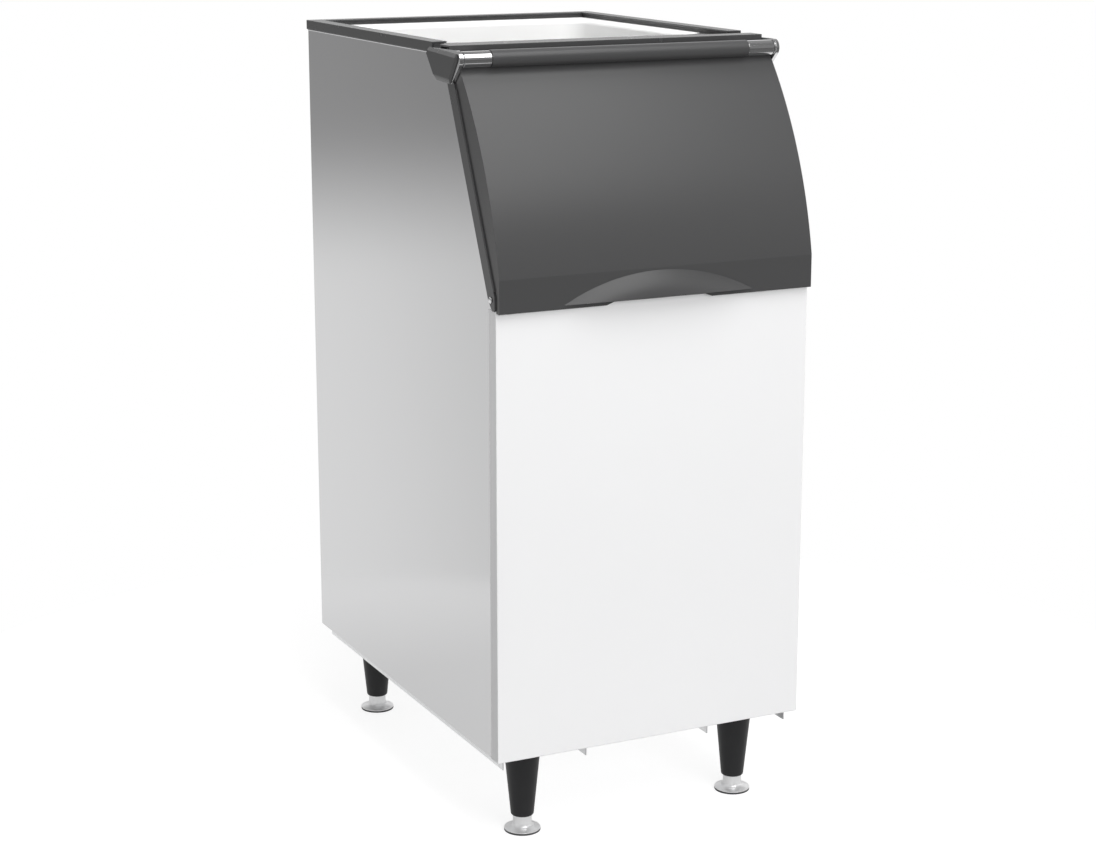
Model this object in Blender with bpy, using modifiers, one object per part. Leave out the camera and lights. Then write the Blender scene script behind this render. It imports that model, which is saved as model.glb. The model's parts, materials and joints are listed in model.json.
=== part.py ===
"""Ice storage bin: a foamed cabinet on four levelling feet, with an open top and a lift-up door.

Metres, +Z up, the front faces -Y. The origin is on the floor, in the middle of the overall box.
Outlines of the cabinet are drawn as (depth, height), where depth is measured from the front
panel's face towards the back. On the sloped door frame, a point is (q, s): q goes square into the
frame from the door's seat, and s goes up along the slope.
"""

import math

import bpy
import bmesh
from mathutils import Matrix, Vector

# Clearances and cuts
FIT = 0.0003                  # gap between touching pieces
RUN = 0.0006                  # gap of a piece that moves
OVERRUN = 0.02                # how far a cutter passes the wall that it cuts
SHEET = 0.0012                # sheet metal of the cabinet
WELD = 0.000002               # points closer than this are one point

# Cabinet
CABINET_WIDTH = 0.555
CABINET_DEPTH = 0.7874        # front panel's face to back panel's face
FLOOR_CLEARANCE = 0.1537      # floor to the panels' lower edge
CABINET_HEIGHT = 1.1208       # panels' lower edge to the top of the trim
FRAME_HEIGHT = 0.3900         # front panel's top to the top of the trim
FRONT_RETURN = 0.025          # depth of the front panel's side and lower returns
SHEET_BEND = 0.0015
REAR_FLANGE = 0.020

# Sloped door frame
SLOPE_ANGLE = math.radians(24.9)      # from the vertical
SEAT_RISE = 0.0266            # front panel's top to where the seat's plane meets its face
SEAT_GAP = 0.003              # door seat to frame strip, filled by the gasket
STRIP_WIDTH = 0.0236          # frame strip across the slope, seen from the side
STRIP_WALL = 0.0015
STRIP_WEB = 0.003
STRIP_COVER = 0.0441          # frame strip over the wall, seen from the front
STRIP_NOSE = 0.0005           # strip's lower end behind the front panel's face
STRIP_TOP_DROP = 0.0278       # top of the trim to the strip's upper end
STRIP_FOOT_DROP = 0.0007      # strip's lower end below the front panel's top
STRIP_FOOT_ROUND = 0.010
STRIP_FOOT_WIDTH = 0.0095

# Liner
LINER_WALL = 0.004
LINER_INSET = 0.036           # cabinet side to the liner's outer face
LINER_FRONT_INSET = 0.0415
LINER_REAR_INSET = 0.0424
LINER_CORNER = 0.036          # inside radius of the upright corners
LINER_FLOOR_ROUND = 0.020
FLOOR_THICKNESS = 0.042       # lower edge of the panels to the liner's underside
LIP_DROP = 0.0095             # top of the trim to the liner's lip
LIP_THICKNESS = 0.0035
SILL_THICKNESS = 0.0035
SILL_RISE = 0.0045            # front panel's top to the sill's top
SILL_SETBACK = 0.0025
SILL_STRIP_GAP = 0.010        # sill strip's rear edge to the tank's front wall

# Top trim
TRIM_FLANGE = 0.025
TRIM_THICKNESS = 0.003
TRIM_SKIRT_WALL = 0.0015
TRIM_SKIRT_HEIGHT = 0.016
TRIM_FRONT_GAP = 0.031        # front rail's rear face to the front end of the side trims
SEAL_SETBACK = 0.004          # trim's inner edge to the dark seal under it

# Front rail and deck
RAIL_BEHIND_HINGE = 0.035     # hinge axis to the rail's front face
RAIL_WIDTH = 0.036
RAIL_WALL = 0.003
RAIL_DROP = 0.0017            # top of the trim to the top of the rail
RAIL_SKIRT = 0.0230
DECK_THICKNESS = 0.001
DECK_SETBACK = 0.002          # rail's rear face to the deck's front edge
DECK_DEPTH = 0.091
DECK_CORNER = 0.052

# Hinge
HINGE_STANDOFF = 0.03004      # door's seat to the hinge axis, square to the slope
HINGE_DROP = 0.0206           # top of the trim to the hinge axis
ROLL_RADIUS = 0.0136
ROD_RADIUS = 0.006
ROD_END_INSET = 0.0008
SLEEVE_RADIUS = 0.0126
SLEEVE_LENGTH = 0.0463
SLEEVE_GAP = 0.0012            # hinge plate's boss to the sleeve's end
HINGE_BORE = 0.0063
BASE_THICKNESS = 0.0058
BASE_NOSE_RADIUS = 0.0140
BASE_BOSS = 0.0018
COVER_THICKNESS = 0.0038
COVER_BEVEL = 0.0014
COVER_ROUND = 0.0065
COVER_OVERHANG = 0.00325      # how far the cover passes the side trim's front end
PLATE_GAP = 0.0012            # hinge plate's rear end to the side trim's front end
HINGE_HEIGHT = 0.0441         # the hinge plate's and its cover's height, for their shares
HINGE_SCREW_RADIUS = 0.0040
HINGE_SCREW_HEAD = 0.0016
BUSH_RADIUS = 0.0095
BUSH_LENGTH = 0.030

# Door
DOOR_SIDE_GAP = 0.0006        # cabinet's side plane to the door's cheek
DOOR_WALL = 0.003
DOOR_EDGE_ROUND = 0.0022
BAND_STANDOFF = 0.0115        # lower band in front of the front panel's face
BAND_HEIGHT = 0.0528
DOOR_OVERLAP = 0.0035         # door's lower edge below the front panel's top
FACE_SAG = 0.0217             # bow of the curved face over its chord
FACE_TOP_BEHIND = 0.0038      # hinge axis to the top of the curved face, in depth
FACE_TOP_BELOW = 0.0128       # and in height
DOOR_REAR_BEHIND = 0.0222     # hinge axis to the door's rear top corner, in depth
CHEEK_GAP = 0.0015            # front panel's face to the cheek's lower rear edge
DOOR_PANEL_THICKNESS = 0.0025
DOOR_PANEL_FOOT_S = 0.0045
GASKET_THICKNESS = 0.0024
GASKET_WIDTH = 0.0135
GASKET_INSET = 0.0014

# Finger grip in the door's lower band
GRIP_HALF_WIDTH = 0.162
GRIP_HEIGHT = 0.040
GRIP_RISE = 0.0060            # door's lower edge to the ends of the grip's lip
GRIP_LIP_RISE = 0.0030        # how much higher the lip is in the middle
GRIP_EDGE_ANGLE = math.radians(40)
GRIP_LIP_ANGLE = math.radians(10)
GRIP_HOLLOW_INSET = 0.014
NOTCH_HALF_WIDTH = 0.081
NOTCH_RAMP = 0.013
NOTCH_HEIGHT = 0.0048

# Base, legs and feet
BASE_RAIL_INSET = 0.015       # cabinet's side to the outer flange
BASE_RAIL_WIDTH = 0.1505
BASE_RAIL_HEIGHT = 0.0184
BASE_RAIL_WALL = 0.002
BASE_RAIL_FRONT = 0.015
BASE_RAIL_REAR_INSET = 0.0124
LEG_SIDE_INSET = 0.0784       # cabinet's side to the leg's axis
LEG_FRONT_DEPTH = 0.0761
LEG_REAR_INSET = 0.0775
LEG_TOP_RADIUS = 0.031
LEG_FOOT_RADIUS = 0.0188
LEG_FOOT_ROUND = 0.003
LEG_FOOT_Z = 0.027
LEG_BORE_DEPTH = 0.085
STEM_RADIUS = 0.0155
STEM_LENGTH = 0.098
DISC_RADIUS = 0.030
DISC_RIM = 0.0022
DISC_FILLET = 0.0065
DISC_CROWN = 0.002            # top of the disc's rim to the lower end of its fillet
PAD_RADIUS = 0.0292
PAD_THICKNESS = 0.0029

# Drain
DRAIN_REAR_INSET = 0.1474     # back panel's face to the drain's axis
DRAIN_RADIUS = 0.0166
DRAIN_BORE = 0.0100
DRAIN_FLANGE_RADIUS = 0.026
DRAIN_FLANGE = 0.003
DRAIN_TAIL = 0.034            # how far the drain reaches below the panels' lower edge
NUT_RADIUS = 0.026
NUT_HEIGHT = 0.0115
DRAIN_WASHER = 0.003
DRAIN_WASHER_RADIUS = 0.024
STRAINER_THICKNESS = 0.002
STRAINER_HOLE = 0.003
STRAINER_RING = 0.0068        # drain's axis to the strainer's holes
STRAINER_HOLES = 6

# Screws
SCREW_RADIUS = 0.0040
SCREW_HEAD = 0.0020
STRIP_SCREW_Q = 0.0180
STRIP_SCREW_S = -0.0040
BACK_SCREW_INSET = 0.012

# Worked out from the sizes above
HALF_WIDTH = CABINET_WIDTH / 2
PANEL_BOTTOM = FLOOR_CLEARANCE
TRIM_TOP = FLOOR_CLEARANCE + CABINET_HEIGHT
FRONT_TOP = TRIM_TOP - FRAME_HEIGHT
SEAT_Z = FRONT_TOP + SEAT_RISE
LIP_TOP = TRIM_TOP - LIP_DROP
LIP_BOTTOM = LIP_TOP - LIP_THICKNESS
WALL_TOP = LIP_BOTTOM - FIT
SILL_TOP = FRONT_TOP + SILL_RISE
SILL_BOTTOM = SILL_TOP - SILL_THICKNESS
HINGE_Z = TRIM_TOP - HINGE_DROP
HINGE_DEPTH = (HINGE_Z - SEAT_Z) * math.tan(SLOPE_ANGLE) - HINGE_STANDOFF / math.cos(SLOPE_ANGLE)
RAIL_FRONT_DEPTH = HINGE_DEPTH + RAIL_BEHIND_HINGE
TRIM_FRONT_DEPTH = RAIL_FRONT_DEPTH + RAIL_WIDTH + TRIM_FRONT_GAP
LINER_HALF = HALF_WIDTH - LINER_INSET
LINER_REAR = CABINET_DEPTH - LINER_REAR_INSET
LINER_UNDERSIDE = PANEL_BOTTOM + FLOOR_THICKNESS
BASIN_FLOOR = LINER_UNDERSIDE + LINER_WALL
STRIP_OUTER = HALF_WIDTH + FIT + STRIP_WALL
STRIP_INNER = STRIP_OUTER - STRIP_COVER
STRIP_TOP_S = (TRIM_TOP - STRIP_TOP_DROP - SEAT_Z) / math.cos(SLOPE_ANGLE)
WALL_EDGE_Q = SEAT_GAP + STRIP_WEB + FIT
TRIM_OUTER = HALF_WIDTH + FIT + TRIM_SKIRT_WALL
TRIM_REAR = CABINET_DEPTH + FIT + TRIM_SKIRT_WALL
RAIL_TOP = TRIM_TOP - RAIL_DROP
DOOR_BOTTOM = FRONT_TOP - DOOR_OVERLAP
FOLD_Z = DOOR_BOTTOM + BAND_HEIGHT
DOOR_HALF = HALF_WIDTH - DOOR_SIDE_GAP
SLEEVE_OUTER = HALF_WIDTH - BASE_BOSS - SLEEVE_GAP
ROLL_HALF = SLEEVE_OUTER - SLEEVE_LENGTH - RUN
BASE_OUTER = HALF_WIDTH + FIT + BASE_THICKNESS
COVER_INNER = BASE_OUTER + FIT
COVER_OUTER = COVER_INNER + COVER_THICKNESS
LEG_X = HALF_WIDTH - LEG_SIDE_INSET
LEG_REAR_DEPTH = CABINET_DEPTH - LEG_REAR_INSET
DRAIN_DEPTH = CABINET_DEPTH - DRAIN_REAR_INSET
LEG_TOP_Z = PANEL_BOTTOM - FIT - BASE_RAIL_WALL - FIT
DISC_BOTTOM = PAD_THICKNESS + FIT
BOTTOM_SHEET_Z = PANEL_BOTTOM + SHEET + FIT

# Grip: a shallow dome turned about a horizontal axis, with an arc for its profile
GRIP_RADIUS = (GRIP_HALF_WIDTH ** 2 + GRIP_HEIGHT ** 2) / (2 * GRIP_HEIGHT)
GRIP_ARC = GRIP_HEIGHT / (math.sin(GRIP_EDGE_ANGLE) - math.sin(GRIP_LIP_ANGLE))
GRIP_REACH = GRIP_ARC * (math.cos(GRIP_LIP_ANGLE) - math.cos(GRIP_EDGE_ANGLE))
GRIP_Z = DOOR_BOTTOM + GRIP_RISE + GRIP_LIP_RISE + GRIP_HEIGHT - GRIP_RADIUS

# The overall box is centred on the origin
FRONT_Y = -(TRIM_REAR - BAND_STANDOFF - GRIP_REACH) / 2

# Facets
ROUND_STEPS = 32
CORNER_STEPS = 5
FACE_STEPS = 16
DOME_STEPS = 9
DOME_TURNS = 120

SIDES = (("left", -1), ("right", 1))
ENDS = (("front", LEG_FRONT_DEPTH), ("rear", LEG_REAR_DEPTH))

ALONG_X = Matrix(((0, 0, 1), (1, 0, 0), (0, 1, 0)))     # outline (depth, height)
ALONG_Y = Matrix(((1, 0, 0), (0, 0, -1), (0, 1, 0)))    # outline (x, height)
ALONG_Z = Matrix.Identity(3)                            # outline (x, depth)
ON_SLOPE = Matrix((
    (1, 0, 0),
    (0, math.sin(SLOPE_ANGLE), -math.cos(SLOPE_ANGLE)),
    (0, math.cos(SLOPE_ANGLE), math.sin(SLOPE_ANGLE)),
))                                                      # outline (x, s)


# Scene, collections and materials

def clear_scene():
    for thing in list(bpy.data.objects):
        bpy.data.objects.remove(thing, do_unlink=True)


def new_collection(name):
    made = bpy.data.collections.new(name)
    bpy.context.scene.collection.children.link(made)
    return made


def principled(name, colour, roughness, metallic=0.0):
    made = bpy.data.materials.new(name)
    made.use_nodes = True
    shader = made.node_tree.nodes["Principled BSDF"]
    shader.inputs["Base Color"].default_value = (*colour, 1.0)
    shader.inputs["Roughness"].default_value = roughness
    shader.inputs["Metallic"].default_value = metallic
    made.diffuse_color = (*colour, 1.0)
    return made


clear_scene()
PARTS = new_collection("ice_storage_bin")
CUTTERS = new_collection("cutters")

LOOKS = {
    "white_sheet": ((0.86, 0.86, 0.86), 0.35, 0.0),
    "steel_sheet": ((0.55, 0.56, 0.57), 0.38, 1.0),
    "white_liner": ((0.90, 0.90, 0.89), 0.50, 0.0),
    "foam": ((0.85, 0.78, 0.58), 0.90, 0.0),
    "dark_trim": ((0.09, 0.09, 0.09), 0.45, 0.0),
    "door_plastic": ((0.13, 0.13, 0.13), 0.42, 0.0),
    "rubber": ((0.03, 0.03, 0.03), 0.70, 0.0),
    "bright_metal": ((0.72, 0.72, 0.73), 0.18, 1.0),
    "leg_plastic": ((0.035, 0.035, 0.035), 0.50, 0.0),
    "galvanised": ((0.60, 0.61, 0.62), 0.45, 1.0),
    "drain_plastic": ((0.75, 0.75, 0.74), 0.45, 0.0),
}
MATERIALS = {name: principled(name, *look) for name, look in LOOKS.items()}


# Outlines

def slope(q, s):
    """A (depth, height) point of the sloped frame."""
    depth = q * math.cos(SLOPE_ANGLE) + s * math.sin(SLOPE_ANGLE)
    height = SEAT_Z - q * math.sin(SLOPE_ANGLE) + s * math.cos(SLOPE_ANGLE)
    return depth, height


def slope_at_depth(q, depth):
    """Where the line at q crosses a depth."""
    s = (depth - q * math.cos(SLOPE_ANGLE)) / math.sin(SLOPE_ANGLE)
    return slope(q, s)


def slope_at_height(q, height):
    """Where the line at q crosses a height."""
    s = (height - SEAT_Z + q * math.sin(SLOPE_ANGLE)) / math.cos(SLOPE_ANGLE)
    return slope(q, s)


def rectangle(low_a, low_b, high_a, high_b):
    return [(low_a, low_b), (high_a, low_b), (high_a, high_b), (low_a, high_b)]


def arc(centre, radius, start, stop, steps):
    angles = [start + (stop - start) * i / steps for i in range(steps + 1)]
    return [(centre[0] + radius * math.cos(a), centre[1] + radius * math.sin(a)) for a in angles]


def rounded(points, radii, steps=CORNER_STEPS):
    """The outline with its corners rounded; a corner with radius 0 stays sharp."""
    outline = []
    for i, (corner, radius) in enumerate(zip(points, radii)):
        here = Vector(corner)
        before = (Vector(points[i - 1]) - here).normalized()
        after = (Vector(points[(i + 1) % len(points)]) - here).normalized()
        if not radius:
            outline.append(tuple(here))
            continue
        half = before.angle(after) / 2
        centre = here + (before + after).normalized() * radius / math.sin(half)
        first = here + before * radius / math.tan(half) - centre
        last = here + after * radius / math.tan(half) - centre
        turn = first.angle_signed(last)
        for j in range(steps + 1):
            spoke = first.copy()
            spoke.rotate(Matrix.Rotation(-turn * j / steps, 2))
            outline.append(tuple(centre + spoke))
    return outline


# Solids

def finish(thing, name, look):
    thing.name = name
    thing.data.name = name
    thing.data.materials.clear()
    thing.data.materials.append(MATERIALS[look])
    for owner in list(thing.users_collection):
        owner.objects.unlink(thing)
    PARTS.objects.link(thing)
    thing.data.shade_smooth()
    thing.data.set_sharp_from_angle(angle=math.radians(35))
    return thing


def as_cutter(thing):
    for owner in list(thing.users_collection):
        owner.objects.unlink(thing)
    CUTTERS.objects.link(thing)
    thing.hide_render = True
    thing.display_type = "WIRE"
    return thing


def prism(outline, low, high, frame=ALONG_X, origin=None):
    """A flat outline drawn out from low to high, square to its plane."""
    drawing = bpy.data.curves.new("outline", "CURVE")
    drawing.dimensions = "2D"
    drawing.fill_mode = "BOTH"
    drawing.extrude = (high - low) / 2
    spline = drawing.splines.new("POLY")
    spline.points.add(len(outline) - 1)
    for point, (a, b) in zip(spline.points, outline):
        point.co = (a, b, 0, 1)
    spline.use_cyclic_u = True
    curve = bpy.data.objects.new("outline", drawing)
    PARTS.objects.link(curve)
    bpy.context.view_layer.update()
    source = curve.evaluated_get(bpy.context.evaluated_depsgraph_get())
    mesh = bpy.data.meshes.new_from_object(source)
    bpy.data.objects.remove(curve, do_unlink=True)
    weld(mesh)
    made = bpy.data.objects.new("prism", mesh)
    place = frame.to_4x4()
    start = Vector((0, FRONT_Y, 0)) if origin is None else Vector(origin)
    place.translation = start + frame @ Vector((0, 0, (low + high) / 2))
    made.matrix_world = place
    PARTS.objects.link(made)
    return made


def weld(mesh):
    """Joins loose caps, and merges the triangles of each flat side into one face."""
    work = bmesh.new()
    work.from_mesh(mesh)
    bmesh.ops.remove_doubles(work, verts=work.verts, dist=WELD)
    bmesh.ops.dissolve_limit(
        work, angle_limit=math.radians(0.2), verts=work.verts, edges=work.edges)
    bmesh.ops.recalc_face_normals(work, faces=work.faces)
    work.to_mesh(mesh)
    work.free()


def block(low, high):
    """A box between two corners, in (x, depth, height)."""
    outline = rectangle(low[0], low[1], high[0], high[1])
    return prism(outline, low[2], high[2], ALONG_Z)


def turned(profile, place, axis=ALONG_Z, steps=ROUND_STEPS, closed=False):
    """A profile of (radius, height), outer side from top to bottom, turned about its axis."""
    mesh = bpy.data.meshes.new("profile")
    points = [(radius, 0, height) for radius, height in profile]
    edges = [(i, i + 1) for i in range(len(points) - 1)]
    if closed:
        edges.append((len(points) - 1, 0))
    mesh.from_pydata(points, edges, [])
    made = bpy.data.objects.new("turned", mesh)
    matrix = axis.to_4x4()
    matrix.translation = Vector(place)
    made.matrix_world = matrix
    PARTS.objects.link(made)
    screw = made.modifiers.new("turn", "SCREW")
    screw.axis = "Z"
    screw.steps = steps
    screw.render_steps = steps
    screw.use_merge_vertices = True
    screw.merge_threshold = WELD
    if not closed:
        weld(apply(made).data)
    return made


def tube(radius, bore, low, high, depth, height, steps=ROUND_STEPS):
    """A tube along X about a line at a depth and a height."""
    ring = [(radius, high), (radius, low), (bore, low), (bore, high)]
    return turned(ring, (0, FRONT_Y + depth, height), ALONG_X, steps, closed=True)


def rod(radius, low, high, depth, height, steps=ROUND_STEPS):
    """A round bar along X about a line at a depth and a height."""
    bar = [(0, high), (radius, high), (radius, low), (0, low)]
    return turned(bar, (0, FRONT_Y + depth, height), ALONG_X, steps)


def combine(body, tool, operation):
    modifier = body.modifiers.new(operation.lower(), "BOOLEAN")
    modifier.operation = operation
    modifier.object = as_cutter(tool)
    modifier.solver = "EXACT"
    return body


def cut(body, *tools):
    for tool in tools:
        combine(body, tool, "DIFFERENCE")
    return body


def add(body, *tools):
    for tool in tools:
        combine(body, tool, "UNION")
    return body


def apply(thing):
    """Turns the object's modifiers into plain mesh, so that it can be bevelled or joined again."""
    bpy.context.view_layer.update()
    source = thing.evaluated_get(bpy.context.evaluated_depsgraph_get())
    mesh = bpy.data.meshes.new_from_object(source)
    thing.modifiers.clear()
    thing.data = mesh
    return thing


def round_edges(thing, width, segments, chosen):
    """Rounds the edges that a test picks from the object's own mesh."""
    work = bmesh.new()
    work.from_mesh(thing.data)
    work.normal_update()
    edges = [edge for edge in work.edges if chosen(edge)]
    bmesh.ops.bevel(
        work, geom=edges, offset=width, segments=segments, profile=0.5,
        affect="EDGES", clamp_overlap=True)
    work.to_mesh(thing.data)
    work.free()
    return thing


def bevel(thing, width, angle, segments=2):
    modifier = thing.modifiers.new("bevel", "BEVEL")
    modifier.width = width
    modifier.segments = segments
    modifier.limit_method = "ANGLE"
    modifier.angle_limit = angle
    return thing


def hang_on(name, place, pieces):
    """An empty on a joint's axis that carries the pieces of one moving body."""
    pivot = bpy.data.objects.new(name, None)
    pivot.location = place
    PARTS.objects.link(pivot)
    bpy.context.view_layer.update()
    for piece in pieces:
        keep = piece.matrix_world.copy()
        piece.parent = pivot
        piece.matrix_parent_inverse = pivot.matrix_world.inverted()
        piece.matrix_world = keep
    return pivot


# Cabinet sheets

def front_panel():
    low = (-HALF_WIDTH, 0, PANEL_BOTTOM)
    high = (HALF_WIDTH, FRONT_RETURN, FRONT_TOP)
    tray = bevel(block(low, high), SHEET_BEND, math.radians(60))
    inner = block(
        (-HALF_WIDTH + SHEET, SHEET, PANEL_BOTTOM + SHEET),
        (HALF_WIDTH - SHEET, FRONT_RETURN + OVERRUN, FRONT_TOP + OVERRUN),
    )
    return finish(cut(tray, inner), "front_panel", "white_sheet")


def side_panel(side, sign):
    rear = CABINET_DEPTH - SHEET - FIT
    front = FRONT_RETURN + FIT
    nose = STRIP_NOSE + STRIP_WEB + FIT
    outline = [
        (front, BOTTOM_SHEET_Z),
        (rear, BOTTOM_SHEET_Z),
        (rear, WALL_TOP),
        slope_at_height(WALL_EDGE_Q, WALL_TOP),
        slope_at_depth(WALL_EDGE_Q, nose),
        (nose, FRONT_TOP + FIT),
        (front, FRONT_TOP + FIT),
    ]
    outer = sign * HALF_WIDTH
    inner = sign * (HALF_WIDTH - SHEET)
    sheet = prism(outline, min(outer, inner), max(outer, inner))
    turn_in = sign * (HALF_WIDTH - REAR_FLANGE)
    flange = block(
        (min(outer, turn_in), rear - SHEET, BOTTOM_SHEET_Z),
        (max(outer, turn_in), rear, WALL_TOP),
    )
    return finish(add(sheet, flange), "side_panel_" + side, "steel_sheet")


def back_panel():
    sheet = block(
        (-HALF_WIDTH + SHEET, CABINET_DEPTH - SHEET, PANEL_BOTTOM),
        (HALF_WIDTH - SHEET, CABINET_DEPTH, WALL_TOP),
    )
    return finish(sheet, "back_panel", "galvanised")


def bottom_panel():
    half = HALF_WIDTH - SHEET - FIT
    sheet = block(
        (-half, SHEET + FIT, BOTTOM_SHEET_Z),
        (half, CABINET_DEPTH - SHEET - FIT - SHEET - FIT, BOTTOM_SHEET_Z + SHEET),
    )
    return finish(cut(sheet, drain_hole(FIT)), "bottom_panel", "galvanised")


def drain_hole(gap):
    """A cutter for the drain, from below the floor to inside the basin."""
    radius = DRAIN_RADIUS + gap
    low = PANEL_BOTTOM - DRAIN_TAIL
    high = BASIN_FLOOR + OVERRUN
    bar = [(0, high), (radius, high), (radius, low), (0, low)]
    return turned(bar, (0, FRONT_Y + DRAIN_DEPTH, 0))


# Liner and foam

def liner_plan(grow):
    """The tank's plan, grown outwards by an amount."""
    half = LINER_HALF + grow
    rear = LINER_REAR + grow
    points = rectangle(-half, LINER_FRONT_INSET - grow, half, rear)
    return rounded(points, [LINER_CORNER + LINER_WALL + grow] * 4)


def at_lower_end(edge):
    return all(vert.co.z < 0 for vert in edge.verts)


def lower_tank(grow, low, high):
    tank = prism(liner_plan(grow), low, high, ALONG_Z)
    return round_edges(tank, LINER_FLOOR_ROUND + LINER_WALL + grow, 3, at_lower_end)


def sill_block(grow, front, low, high):
    """The passage over the sill, from the opening to well inside the tank."""
    half = LINER_HALF + grow
    return block((-half, front, low), (half, CABINET_DEPTH / 2, high))


def slope_cutter(q, floor):
    """Everything in front of the frame's plane at q, above a height."""
    high = TRIM_TOP + OVERRUN
    far = -BAND_STANDOFF - OVERRUN
    nose = STRIP_NOSE + STRIP_WEB + FIT
    outline = [
        (nose, floor),
        slope_at_depth(q, nose),
        slope_at_height(q, high),
        (far, high),
        (far, floor),
    ]
    return prism(outline, -HALF_WIDTH - OVERRUN, HALF_WIDTH + OVERRUN)


def liner():
    shell = lower_tank(0, LINER_UNDERSIDE, LIP_TOP - LIP_THICKNESS / 2)
    add(shell, sill_block(0, SILL_SETBACK, SILL_BOTTOM, LIP_BOTTOM + FIT))
    lip_half = HALF_WIDTH - SHEET + FIT
    lip_rear = CABINET_DEPTH - SHEET
    lip_front = slope_at_height(0, LIP_BOTTOM)[0]
    add(shell, block((-lip_half, lip_front, LIP_BOTTOM), (lip_half, lip_rear, LIP_TOP)))
    above = TRIM_TOP + OVERRUN
    cut(shell, lower_tank(-LINER_WALL, BASIN_FLOOR, above))
    cut(shell, sill_block(-LINER_WALL, -OVERRUN, SILL_TOP, above))
    cut(shell, slope_cutter(WALL_EDGE_Q, SILL_TOP + FIT))
    cut(shell, drain_hole(FIT))
    return finish(shell, "liner", "white_liner")


def foam_insulation():
    half = HALF_WIDTH - SHEET - FIT
    rear = CABINET_DEPTH - SHEET - FIT - SHEET - FIT
    low = (-half, SHEET + FIT, BOTTOM_SHEET_Z + SHEET + FIT)
    body = block(low, (half, rear, LIP_BOTTOM - FIT))
    above = TRIM_TOP + OVERRUN
    cut(body, lower_tank(FIT, LINER_UNDERSIDE - FIT, above))
    cut(body, sill_block(FIT, -OVERRUN, SILL_BOTTOM - FIT, above))
    cut(body, slope_cutter(WALL_EDGE_Q, FRONT_TOP))
    cut(body, drain_hole(DRAIN_WASHER))
    return finish(body, "foam_insulation", "foam")


# Door frame

def frame_strip(side, sign):
    """A channel over the wall's sloped edge: outer leg, web and inner leg in one."""
    foot = FRONT_TOP - STRIP_FOOT_DROP
    rear_q = SEAT_GAP + STRIP_WIDTH
    outline = rounded(
        [
            slope(SEAT_GAP, STRIP_TOP_S),
            slope_at_depth(SEAT_GAP, STRIP_NOSE),
            (STRIP_NOSE, foot),
            (STRIP_NOSE + STRIP_FOOT_WIDTH, foot),
            slope(rear_q, 0),
            slope(rear_q, STRIP_TOP_S),
        ],
        [0, STRIP_FOOT_ROUND, SHEET_BEND, STRIP_FOOT_ROUND / 2, STRIP_FOOT_ROUND, 0],
        3,
    )
    outer = sign * STRIP_OUTER
    inner = sign * STRIP_INNER
    strip = prism(outline, min(outer, inner), max(outer, inner))
    web_q = SEAT_GAP + STRIP_WEB
    web_depth = STRIP_NOSE + STRIP_WEB
    hollow = [
        slope(web_q, STRIP_TOP_S + OVERRUN),
        slope_at_depth(web_q, web_depth),
        (web_depth, foot - OVERRUN),
        (web_depth + OVERRUN + STRIP_WIDTH, foot - OVERRUN),
        slope(rear_q + OVERRUN, 0),
        slope(rear_q + OVERRUN, STRIP_TOP_S + OVERRUN),
    ]
    leg_outer = sign * (STRIP_OUTER - STRIP_WALL)
    leg_inner = sign * (STRIP_INNER + STRIP_WALL)
    cut(strip, prism(hollow, min(leg_outer, leg_inner), max(leg_outer, leg_inner)))
    beyond = sign * (STRIP_INNER - OVERRUN)
    liner_side = sign * (LINER_HALF + FIT)
    for near, far, floor in ((beyond, liner_side, SILL_TOP), (beyond, leg_outer, FRONT_TOP)):
        low = (min(near, far), -OVERRUN, foot - OVERRUN)
        cut(strip, block(low, (max(near, far), STRIP_WIDTH + OVERRUN, floor + FIT)))
    return finish(strip, "frame_strip_" + side, "dark_trim")


def sill_strip():
    """Covers the sill's front edge and rises along the slope to meet the door's gasket."""
    lip = SILL_SETBACK - FIT
    rear = LINER_FRONT_INSET - SILL_STRIP_GAP
    thick = STRIP_WEB - SHEET
    top_s = DOOR_PANEL_FOOT_S + GASKET_WIDTH
    outline = [
        (STRIP_NOSE, FRONT_TOP + FIT),
        (lip, FRONT_TOP + FIT),
        (lip, SILL_TOP + FIT),
        (rear, SILL_TOP + FIT),
        (rear, SILL_TOP + FIT + thick),
        (STRIP_NOSE + STRIP_WEB, SILL_TOP + FIT + thick),
        slope_at_depth(SEAT_GAP + STRIP_WEB, STRIP_NOSE + STRIP_WEB),
        slope(SEAT_GAP + STRIP_WEB, top_s),
        slope(SEAT_GAP, top_s),
        slope_at_depth(SEAT_GAP, STRIP_NOSE),
    ]
    half = STRIP_INNER - FIT
    return finish(prism(outline, -half, half), "sill_strip", "dark_trim")


def screw_head(place, axis, radius=SCREW_RADIUS, height=SCREW_HEAD):
    """A pan head whose seat is at the place, standing up along the axis."""
    edge = height / 2
    profile = [(0, height), (radius - edge, height), (radius, edge), (radius, 0), (0, 0)]
    return turned(profile, place, axis, 16)


def outwards(sign):
    """The turning axis that points away from the cabinet on one side."""
    return ALONG_X if sign > 0 else Matrix.Rotation(math.pi, 3, "Z") @ ALONG_X


def frame_screw(side, sign):
    depth, height = slope(STRIP_SCREW_Q, STRIP_SCREW_S)
    place = (sign * (STRIP_OUTER + FIT), FRONT_Y + depth, height)
    return finish(screw_head(place, outwards(sign)), "frame_screw_" + side, "bright_metal")


# Top trim, seal, rail and deck

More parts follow.
